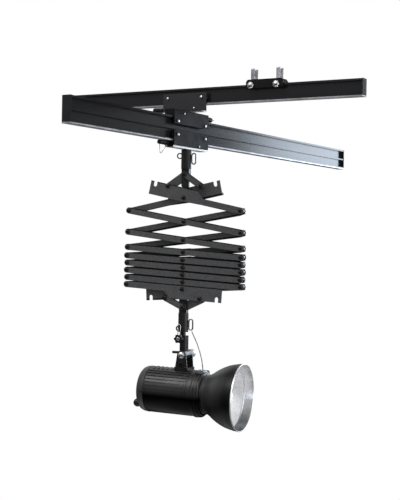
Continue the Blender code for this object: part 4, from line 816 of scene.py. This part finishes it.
def make_floor():
    """A pale round floor that fades out towards its edge."""
    bm = bmesh.new()
    bmesh.ops.create_circle(bm, cap_ends=True, segments=FLOOR_STEPS, radius=FLOOR_RADIUS)
    bm.transform(Matrix.Translation(FLOOR_CENTRE))
    mesh = bpy.data.meshes.new("floor")
    bm.to_mesh(mesh)
    bm.free()
    material = bpy.data.materials.new("floor_paint")
    material.use_nodes = True
    tree = material.node_tree
    shader = tree.nodes["Principled BSDF"]
    shader.inputs["Base Color"].default_value = grey(FLOOR_GREY)
    shader.inputs["Roughness"].default_value = FLOOR_ROUGHNESS
    place = tree.nodes.new("ShaderNodeTexCoord")
    middle = tree.nodes.new("ShaderNodeVectorMath")
    middle.operation = "DISTANCE"
    middle.inputs[1].default_value = FLOOR_CENTRE
    tree.links.new(place.outputs["Object"], middle.inputs[0])
    clear = tree.nodes.new("ShaderNodeBsdfTransparent")
    mix = tree.nodes.new("ShaderNodeMixShader")
    fade = [share * FLOOR_RADIUS for share in FLOOR_FADE]
    tree.links.new(spread(tree, middle.outputs["Value"], 0.0, 1.0, *fade), mix.inputs["Fac"])
    tree.links.new(shader.outputs["BSDF"], mix.inputs[1])
    tree.links.new(clear.outputs["BSDF"], mix.inputs[2])
    tree.links.new(mix.outputs["Shader"], tree.nodes["Material Output"].inputs["Surface"])
    mesh.materials.append(material)
    link("floor", mesh)


# safety cable

def curve_point(knots, k, t):
    """A point of the smooth curve through the knots, between knot k and the next."""
    before = knots[max(k - 1, 0)]
    after = knots[min(k + 2, len(knots) - 1)]
    a, b = knots[k], knots[k + 1]
    slope_a, slope_b = (b - before) / 2, (after - a) / 2
    return (a * (2 * t ** 3 - 3 * t ** 2 + 1) + slope_a * (t ** 3 - 2 * t ** 2 + t)
            + b * (3 * t ** 2 - 2 * t ** 3) + slope_b * (t ** 3 - t ** 2))


def safety_cable():
    """The cable from the lower socket's loop to the light's collar."""
    lean = Matrix.Rotation(rad(-LIGHT_TILT), 4, "Y")
    knots = [lean @ Vector((x, 0.0, z)) for x, z in CABLE_ROUTE]
    knots[-1].z = -LIGHT_DROP + COLLAR_RADIUS + CABLE_END_GAP
    route = []
    for i in range(CABLE_POINTS + 1):
        place = i / CABLE_POINTS * (len(knots) - 1)
        k = min(int(place), len(knots) - 2)
        route.append(curve_point(knots, k, place - k))
    strands = make_finish("cable_strands", CABLE_LOOK)
    piece = as_mesh(wire("safety_cable_wire", route, CABLE_RADIUS, strands, TILT))
    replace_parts(piece, "safety_cable")
    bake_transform(piece)


# rails, saddle and carriages

def saddle_details():
    """Threads on the studs, and domed heads on the set bolts."""
    bm = bmesh.new()
    profile = [(STUD_SKIN, 0), (STUD_SKIN, STUD_RADIUS + STUD_SKIN)]
    for i in range(int((STUD_HEIGHT - THREAD_END_CLEARANCE) / THREAD_PITCH)):
        profile += [(THREAD_START + i * THREAD_PITCH, STUD_RADIUS + THREAD_ROOT),
                    (THREAD_START + (i + 0.5) * THREAD_PITCH, STUD_RADIUS + THREAD_DEPTH)]
    profile += [(STUD_HEIGHT, STUD_RADIUS + THREAD_ROOT),
                (STUD_HEIGHT + STUD_POINT, STUD_RADIUS - STUD_POINT_CHAMFER), (STUD_HEIGHT + STUD_POINT, 0)]
    for x in (-STUD_HALF_X, STUD_HALF_X):
        for y in (-STUD_HALF_Y, STUD_HALF_Y):
            lathe(bm, profile, STUD_STEPS, aim((0, 0, 1), x, y, 0))
    finish_piece("stud_threads", bm, STRIP, "overhead", angle=STUD_SHARP_ANGLE)
    bm = bmesh.new()
    for x in (-STUD_HALF_X, STUD_HALF_X):
        domed_hex(bm, aim((0, -1, 0), x, SET_BOLT_FACE, SET_BOLT_Z), SET_BOLT_RADIUS, SET_BOLT_HEIGHT)
    finish_piece("set_bolt_heads", bm, STEEL, "overhead")


def plate_screws(name, body, across, screws, small):
    """Screw heads on both plates of a carriage; across is the axis that the plates face."""
    bm = bmesh.new()
    heads = [(spot, SCREW_RADIUS, SCREW_HEIGHT) for spot in screws]
    heads.append((small, SMALL_SCREW_RADIUS, SMALL_SCREW_HEIGHT))
    for side in (-1, 1):
        face = side * PLATE_FACE
        for (along, z), radius, height in heads:
            if across == "Y":
                place = aim((0, side, 0), CROSSING_X + along, face, z)
            else:
                place = aim((side, 0, 0), CROSSING_X + face, along, z)
            domed_hex(bm, place, radius, height)
    finish_piece(name, bm, STEEL, body)


def brake_piece(name, node, direction, start, length, radius, drop):
    """A brake barrel with a turned grip; drop is how far its bail hangs, or None for a ring at its end."""
    profile = [(-BRAKE_STANDOFF, 0), (-BRAKE_STANDOFF, BRAKE_PIN_RADIUS), (0, BRAKE_PIN_RADIUS),
               (0, radius - BRAKE_CHAMFER), (BRAKE_CHAMFER, radius)]
    for i in range(GROOVE_COUNT):
        x = length * GROOVE_START + i * length * GROOVE_PITCH
        profile += [(x + along, radius - depth) for along, depth in GROOVE_PROFILE]
    dimple = length - BRAKE_DIMPLE_DEPTH
    wide, narrow = (radius * share for share in BRAKE_DIMPLE_SHARES)
    profile += [(length - BRAKE_END_CHAMFER, radius), (length, radius - BRAKE_END_CHAMFER), (length, wide),
                (dimple, narrow), (dimple, 0)]
    bm = bmesh.new()
    lathe(bm, profile, BARREL_STEPS, aim(direction, *start))
    piece = finish_piece(name, bm, BOLT_BLACK, node)
    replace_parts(piece, node)
    along = Vector(direction)
    origin = Vector(start)
    if drop:
        near, far = BAIL_INSET, length - BAIL_INSET
        tip = far - 2 * BAIL_TIP_HALF
        root, shoulder = -radius + BAIL_SINK, -radius - BAIL_SHOULDER
        corners = ((near, root), (near, shoulder), (tip - BAIL_TIP_HALF, -drop), (tip + BAIL_TIP_HALF, -drop),
                   (far, shoulder), (far, root))
        points = [origin + along * u + Vector((0, 0, w)) for u, w in corners]
        bail = wire(name + "_bail", points, BAIL_RADIUS, STEEL)
    else:
        ring = radius - BAIL_RADIUS
        middle = length + ring - BAIL_SINK
        across = Vector((0, 0, 1)).cross(along)
        points = [origin + along * (middle + ring * math.cos(rad(a))) + across * ring * math.sin(rad(a))
                  for a in range(0, 360, 15)]
        bail = wire(name + "_ring", points, BAIL_RADIUS, STEEL, closed=True)
    ride(bail, node)


def carriages():
    plate_screws("upper_screws", "cross_carriage", "Y", UPPER_SCREWS, UPPER_SMALL_SCREW)
    plate_screws("cross_screws", "cross_carriage", "X", CROSS_SCREWS, CROSS_SMALL_SCREW)
    plate_screws("trolley_screws", "trolley", "X", TROLLEY_SCREWS, TROLLEY_SMALL_SCREW)
    brake_piece("upper_brake_barrel", "upper_brake", (-1, 0, 0),
                (CROSSING_X - BAR_HALF_LENGTH_X - BRAKE_STANDOFF, 0, UPPER_BRAKE_Z),
                BRAKE_LENGTH, UPPER_BRAKE_RADIUS, UPPER_BAIL_DROP)
    brake_piece("cross_brake_barrel", "cross_brake", (0, 1, 0),
                (CROSSING_X, BAR_HALF_LENGTH_Y + BRAKE_STANDOFF, CROSS_BRAKE_Z),
                BRAKE_LENGTH, UPPER_BRAKE_RADIUS, None)
    brake_piece("trolley_brake_barrel", "trolley_brake", (0, -1, 0),
                (CROSSING_X, -BAR_HALF_LENGTH_Y - BRAKE_STANDOFF, TROLLEY_BRAKE_Z),
                TROLLEY_BRAKE_LENGTH, TROLLEY_BRAKE_RADIUS, TROLLEY_BAIL_DROP)


# pantograph

def arm_place(stage, front):
    """Placement of an arm's own frame, with its centre pivot at the origin."""
    x, z = CENTRES[stage]
    chain_x = x if stage % 2 == 0 else -x
    turn = rad(STAGE_ANGLES[stage])
    flip = rad(180) if stage == len(STAGE_ANGLES) - 1 else 0.0
    if front:
        return HANG @ shift(chain_x, 0, z) @ Matrix.Rotation(turn + flip, 4, "Y")
    return HANG @ shift(-chain_x, 0, z) @ Matrix.Rotation(-turn + flip, 4, "Y")


def arm_finish(node, place, front):
    """Arm paint with painted shade: a dark line along the top of a front arm, or a dark band along the lower
    flange of a rear arm.
    """
    up = place.to_3x3() @ Vector((0, 0, 1))
    levels = [vertex.co.dot(up) / MM for vertex in NODES[node].data.vertices]
    if up.z < 0:
        up = -up
        levels = [-level for level in levels]
    if front:
        mask = level_mask(tuple(up), max(levels) - TOP_SHADE_LINE)
    else:
        mask = level_mask(tuple(-up), -min(levels) - REAR_SHADE_BAND)
    return make_finish(node + "_paint", ARM_LOOK, [(BLACK_AND_SHADE_LOOK, mask)])


def pantograph():
    """Paint with painted shade lines, pivot bolts, washers and rear spacers of all stages."""
    hook = (-RHOMB_SIDE * math.cos(rad(RHOMB_OFFSET)), RHOMB_SIDE * math.sin(rad(RHOMB_OFFSET)))
    last = len(STAGE_ANGLES) - 1
    for stage in range(last + 1):
        front, rear = f"arm_front_{stage + 1}", f"arm_rear_{stage + 1}"
        front_place, rear_place = arm_place(stage, True), arm_place(stage, False)
        paint(front, arm_finish(front, front_place, True))
        paint(rear, arm_finish(rear, rear_place, False))
        left_end = hook if stage in (0, last) else (-ARM_HALF, 0.0)
        heads = bmesh.new()
        washers = bmesh.new()
        for x, z in (left_end, (0.0, 0.0), (ARM_HALF, 0.0)):
            button_head(heads, aim((0, -1, 0), x, -ARM_FACE, z), PIVOT_HEAD_RADIUS, PIVOT_HEAD_HEIGHT)
            if abs(x) == ARM_HALF:
                for y, radius in WASHERS:
                    disc(washers, aim((0, 1, 0), x, y, z), radius, WASHER_THICKNESS)
        if stage >= SPACER_FIRST_STAGE:
            spacer = bmesh.new()
            prism(spacer, arc(SPACER_HALF_LENGTH, 0, SPACER_HALF_HEIGHT, -90, 90, 10)
                  + arc(-SPACER_HALF_LENGTH, 0, SPACER_HALF_HEIGHT, 90, 270, 10), *SPACER_LAYER)
            finish_piece(rear + "_spacer", spacer, BOLT_BLACK, rear, rear_place)
        finish_piece(front + "_bolts", heads, BOLT_BLACK, front, front_place)
        finish_piece(front + "_washers", washers, STEEL, front, front_place)


def links():
    """Pivot bolts and a raised edge on the two front links, and the links' paint."""
    top_lean = rad(90 - STAGE_ANGLES[0] - RHOMB_OFFSET)
    bottom_lean = rad(90 - STAGE_ANGLES[-1] - RHOMB_OFFSET)
    link_paint = make_finish("link_paint", ARM_LOOK)
    fronts = (("link_top_right", HANG @ shift(0, 0, TOP_PIVOT_Z) @ Matrix.Rotation(-top_lean, 4, "Y")),
              ("link_bottom_left", HANG @ shift(-BOTTOM_PIVOT_X, 0, BOTTOM_PIVOT_Z)
               @ Matrix.Rotation(rad(180) - bottom_lean, 4, "Y")))
    inset = LINK_RADIUS - LINK_EDGE_INSET
    loop = arc(0, 0, inset, 0, 180, 12) + arc(0, -RHOMB_SIDE, inset, 180, 360, 12)
    edge = [(x, -LINK_FACE, z) for x, z in loop]
    for node, place in fronts:
        bm = bmesh.new()
        for z in (0.0, -RHOMB_SIDE):
            button_head(bm, aim((0, -1, 0), 0, -LINK_FACE, z), PIVOT_HEAD_RADIUS, PIVOT_HEAD_HEIGHT)
        finish_piece(node + "_bolts", bm, BOLT_BLACK, node, place)
        loop_wire = wire(node + "_edge", edge, LINK_EDGE_RADIUS, BOLT_BLACK, place, closed=True)
        ride(loop_wire, node)
    for node in ("link_top_left", "link_top_right", "link_bottom_left", "link_bottom_right"):
        paint(node, link_paint)


# light

def light_piece(name, bm, material, angle=SHELL_SHARP_ANGLE):
    """A piece of the light's head, made along the light's axis."""
    return finish_piece(name, bm, material, "light_head", LIGHT, angle)


def add_bar(bm, x_from, x_to, angle_from, angle_to, low, high, steps=3):
    """A curved bar on the shell between two X values, two angles from the top and two radii."""
    corners = []
    for x in (x_from, x_to):
        row = []
        for radius in (low, high):
            for i in range(steps + 1):
                angle = rad(angle_from + (angle_to - angle_from) * i / steps)
                row.append(bm.verts.new((x, -radius * math.sin(angle), radius * math.cos(angle))))
        corners.append(row)
    n = steps + 1
    loop = list(range(n)) + list(range(2 * n - 1, n - 1, -1))
    for row in corners:
        bm.faces.new([row[i] for i in loop])
    for i in range(len(loop)):
        j = (i + 1) % len(loop)
        bm.faces.new((corners[0][loop[i]], corners[0][loop[j]], corners[1][loop[j]], corners[1][loop[i]]))


def bars_piece(name, bars):
    """Bars on both sides of the housing, as (x from, x to, angle from, angle to, low radius, high radius)."""
    bm = bmesh.new()
    for x_from, x_to, angle_from, angle_to, low, high in bars:
        for side in (-1, 1):
            add_bar(bm, x_from, x_to, side * angle_from, side * angle_to, low, high)
    light_piece(name, bm, HOUSING)


def housing():
    """The light's body: shell with a seam, rear cap, ribs, vents, latches, collar rings and rear knob."""
    r = HOUSING_RADIUS
    profile = [(HOUSING_REAR, 0)]
    profile += [(HOUSING_REAR + along, r - depth) for along, depth in SHELL_REAR_CURVE]
    profile += [(CAP_FRONT + along, r - depth) for along, depth in SEAM_PROFILE]
    profile += [(HOUSING_FRONT + along, r - depth) for along, depth in FRONT_BAND]
    profile += [(x, COLLAR_RADIUS - depth) for x, depth in COLLAR_PROFILE]
    profile += [(x, NECK_RADIUS + out) for x, out in NECK_PROFILE]
    profile += [(NECK_FRONT, RING_RADIUS), (RING_FRONT, RING_RADIUS), (RING_FRONT, 0)]
    bm = bmesh.new()
    lathe(bm, profile, SHELL_STEPS)
    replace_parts(light_piece("housing_shell_piece", bm, HOUSING), "light_housing")

    cap_profile = [(HOUSING_REAR + CAP_REAR_CURVE[0][0], 0)]
    cap_profile += [(HOUSING_REAR + along, r - depth) for along, depth in CAP_REAR_CURVE]
    cap_profile += [(CAP_FRONT + along, r - depth) for along, depth in CAP_RIM]
    cap_profile += [(HOUSING_REAR + along, r - depth) for along, depth in CAP_INSIDE]
    bm = bmesh.new()
    lathe(bm, cap_profile, SHELL_STEPS)
    light_piece("rear_cap", bm, HOUSING_CAP_SHEEN)

    middles = [RIB_FIRST + i * RIB_STEP for i in range(RIB_COUNT)]
    ribs = [(*RIB_X, middle - RIB_HALF_ANGLE, middle + RIB_HALF_ANGLE, *RIB_RADII) for middle in middles]
    bars_piece("housing_ribs", ribs + [SIDE_SEAM])
    starts = [VENT_FIRST + i * VENT_STEP for i in range(VENT_COUNT)]
    bars_piece("top_vents", [(x, x + VENT_WIDTH, *VENT_ANGLES, *VENT_RADII) for x in starts])
    bars_piece("shell_latches", LATCHES)

    ball = [(HOUSING_REAR + along, radius) for along, radius in KNOB_NECK]
    ball += [(KNOB_CENTRE + KNOB_RADIUS * math.cos(rad(a)), KNOB_RADIUS * math.sin(rad(a)))
             for a in range(35, 180, 12)]
    ball.append((KNOB_CENTRE - KNOB_RADIUS, 0))
    bm = bmesh.new()
    lathe(bm, ball, KNOB_STEPS, Matrix.Translation((0, 0, -KNOB_DROP)))
    light_piece("rear_knob", bm, PLASTIC, angle=BALL_SHARP_ANGLE)


def bowl_radius(x):
    """Outer radius of the bowl at a distance from its neck."""
    for (x1, r1), (x2, r2) in zip(BOWL_CURVE, BOWL_CURVE[1:]):
        if x <= x2:
            return NECK_RADIUS + r1 + (r2 - r1) * max(0.0, x - x1) / (x2 - x1)
    x1, r1 = BOWL_CURVE[-1]
    length = BOWL_FRONT - NECK_FRONT
    return NECK_RADIUS + r1 + (BOWL_RADIUS - NECK_RADIUS - r1) * (x - x1) / (length - x1)


def bowl_line(start, end, inset, step=4.0):
    """Points along the bowl's wall between two X values, inset from its smoothed outside."""
    count = max(1, round((end - start) / step))
    line = []
    for i in range(count + 1):
        x = start + (end - start) * i / count
        radius = sum(bowl_radius(x - NECK_FRONT + near) for near in BOWL_SMOOTHING) / len(BOWL_SMOOTHING)
        line.append((x, radius - inset))
    return line


def bowl():
    """The reflector: satin outside with a step, hammered inside, a smooth lip and a bright rim."""
    start = NECK_FRONT + BOWL_START_GAP
    edge = BOWL_FRONT - BOWL_EDGE_BACK
    step_x = BOWL_FRONT - BOWL_STEP_BACK
    outside = bowl_line(start, step_x - BOWL_STEP_WIDTH, BOWL_OUTER_INSET)
    outside.append((step_x - BOWL_STEP_MIDDLE, bowl_radius(step_x - NECK_FRONT) - BOWL_SHELL_WALL))
    outside += bowl_line(step_x, edge, 0.0)
    bm = bmesh.new()
    lathe(bm, outside + bowl_line(start, edge, BOWL_SHELL_WALL)[::-1], SHELL_STEPS, closed=True)
    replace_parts(light_piece("bowl_shell", bm, BOWL_BLACK, BOWL_SHARP_ANGLE), "reflector")

    lip_x = BOWL_FRONT - LIP_DEPTH
    lip_radius = bowl_radius(lip_x - NECK_FRONT) - LIP_INSET
    foot_x = RING_FRONT + LINING_START
    lining = [(foot_x, RING_RADIUS + LINING_FOOT)] + bowl_line(foot_x, lip_x, LINING_INSET)
    back = [(x + LINING_BACK[0], radius + LINING_BACK[1]) for x, radius in lining[::-1]]
    bm = bmesh.new()
    lathe(bm, lining + back, SHELL_STEPS, closed=True)
    light_piece("bowl_lining", bm, HAMMERED, BALL_SHARP_ANGLE)

    lip = [(lip_x + along, lip_radius + out) for along, out in LIP_INSIDE]
    lip += [(BOWL_FRONT - behind, radius) for behind, radius in RIM_PROFILE]
    lip += [(lip_x + along, lip_radius + out) for along, out in LIP_OUTSIDE]
    bm = bmesh.new()
    lathe(bm, lip, SHELL_STEPS, closed=True)
    light_piece("bowl_lip", bm, LIP_METAL, BALL_SHARP_ANGLE)


def dome():
    """The frosted dome, and the bright plate that it stands on."""
    profile = [(RING_FRONT + DOME_FOOT[0][0], 0)]
    profile += [(RING_FRONT + along, DOME_RADIUS + out) for along, out in DOME_FOOT]
    profile += [(DOME_FRONT - DOME_RADIUS + DOME_RADIUS * math.sin(rad(a)), DOME_RADIUS * math.cos(rad(a)))
                for a in range(0, 90, 10)]
    profile.append((DOME_FRONT, 0))
    bm = bmesh.new()
    lathe(bm, profile)
    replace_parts(light_piece("dome_cover", bm, GLASS, DOME_SHARP_ANGLE), "glass_dome")
    low, high = (RING_FRONT + level for level in PLATE_LEVELS)
    edge = RING_RADIUS - PLATE_EDGE
    plate = [(low, 0), (low, edge), (high, edge), (high, DOME_RADIUS + PLATE_HOLE),
             (RING_FRONT + PLATE_MIDDLE, 0)]
    bm = bmesh.new()
    lathe(bm, plate, PLATE_STEPS)
    light_piece("socket_plate", bm, ALUMINIUM, DOME_SHARP_ANGLE)


def tilt_bolt():
    """The tilt bolt with its hex head in front and round grip behind, and the small bolts of the bracket."""
    outer = YOKE_INSIDE + EAR_THICKNESS
    face = outer + TILT_FACE_GAP
    bm = bmesh.new()
    washer = aim((0, -1, 0), 0, -face + TILT_WASHER_SINK, 0)
    disc(bm, washer, TILT_WASHER_RADIUS, TILT_WASHER_THICKNESS)
    domed_hex(bm, aim((0, -1, 0), 0, -face - TILT_HEAD_GAP, 0), TILT_HEAD_RADIUS, TILT_HEAD_HEIGHT)
    disc(bm, aim((0, 1, 0), 0, -face, 0), TILT_SHAFT_RADIUS, 2 * face, HEAD_STEPS)
    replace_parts(finish_piece("tilt_bolt", bm, STEEL, "tilt_knob", TILT), "tilt_knob")
    bm = bmesh.new()
    lathe(bm, GRIP_PROFILE, GRIP_STEPS, aim((0, 1, 0), 0, face, 0))
    finish_piece("tilt_knob_grip", bm, SATIN_KNOB, "tilt_knob", TILT)
    bm = bmesh.new()
    for side in (-1, 1):
        lathe(bm, YOKE_BOLT_PROFILE, BOLT_STEPS, aim((0, side, 0), 0, side * outer, YOKE_BOLT_Z))
        for x in (-YOKE_SCREW_X, YOKE_SCREW_X):
            place = aim((0, side, 0), x, side * outer, YOKE_SCREW_Z)
            button_head(bm, place, YOKE_SCREW_RADIUS, YOKE_SCREW_HEIGHT)
    finish_piece("yoke_bolts", bm, BOLT_BLACK, "light_head", TILT)


def stem_details():
    """Metal insert of the clamp knob, and the hook that hangs from the lower socket's ring."""
    bm = bmesh.new()
    lathe(bm, INSERT_PROFILE, BOLT_STEPS, aim((0, -1, 0), 0, INSERT_FACE, 0))
    place = HANG @ shift(BOTTOM_PIVOT_X + CLAMP_KNOB_X, 0.0, TILT_AXIS_Z + CLAMP_KNOB_RISE)
    finish_piece("clamp_knob_insert", bm, STEEL, "clamp_knob", place)
    hook = []
    for a in range(0, 360, 20):
        end = HOOK_HALF_LENGTH if a < 180 else -HOOK_HALF_LENGTH
        hook.append((BOTTOM_PIVOT_X + HOOK_X + HOOK_RADIUS * math.cos(rad(a)), HOOK_Y,
                     SOCKET_BOTTOM_Z + HOOK_RISE + end + HOOK_RADIUS * math.sin(rad(a))))
    ride(wire("snap_hook", hook, HOOK_WIRE_RADIUS, STEEL, HANG, closed=True), "bottom_hanger")


def paint_nodes():
    finishes = {
        UPPER_RAIL_FINISH: ("upper_rail",),
        LOWER_RAIL_FINISH: ("lower_rail",),
        POWDER: ("upper_plate_front", "upper_plate_rear"),
        DARK_POWDER: ("ceiling_saddle", "cross_plate_front", "cross_plate_rear", "trolley_plate_front",
                      "trolley_plate_rear", "cross_bar"),
        STEEL: ("saddle_bolt_left", "saddle_bolt_right"),
        GREY_STEEL: ("top_lock", "bottom_lock"),
        BOLT_BLACK: ("light_spigot",),
        ALUMINIUM: ("upper_bar",),
        BLACK_END_ALUMINIUM: ("trolley_block",),
        ROLLER: tuple(prefix + str(i) for prefix in ("upper_wheel_", "trolley_wheel_") for i in range(1, 5)),
        PLASTIC: ("tilt_hub", "clamp_knob", "tilt_yoke", "top_socket", "bottom_socket"),
    }
    for material, nodes in finishes.items():
        for node in nodes:
            paint(node, material)


set_camera()
safety_cable()
set_world()
for row in LIGHTS:
    area_light(*row)
make_floor()
paint_nodes()
saddle_details()
carriages()
pantograph()
links()
housing()
bowl()
dome()
tilt_bolt()
stem_details()
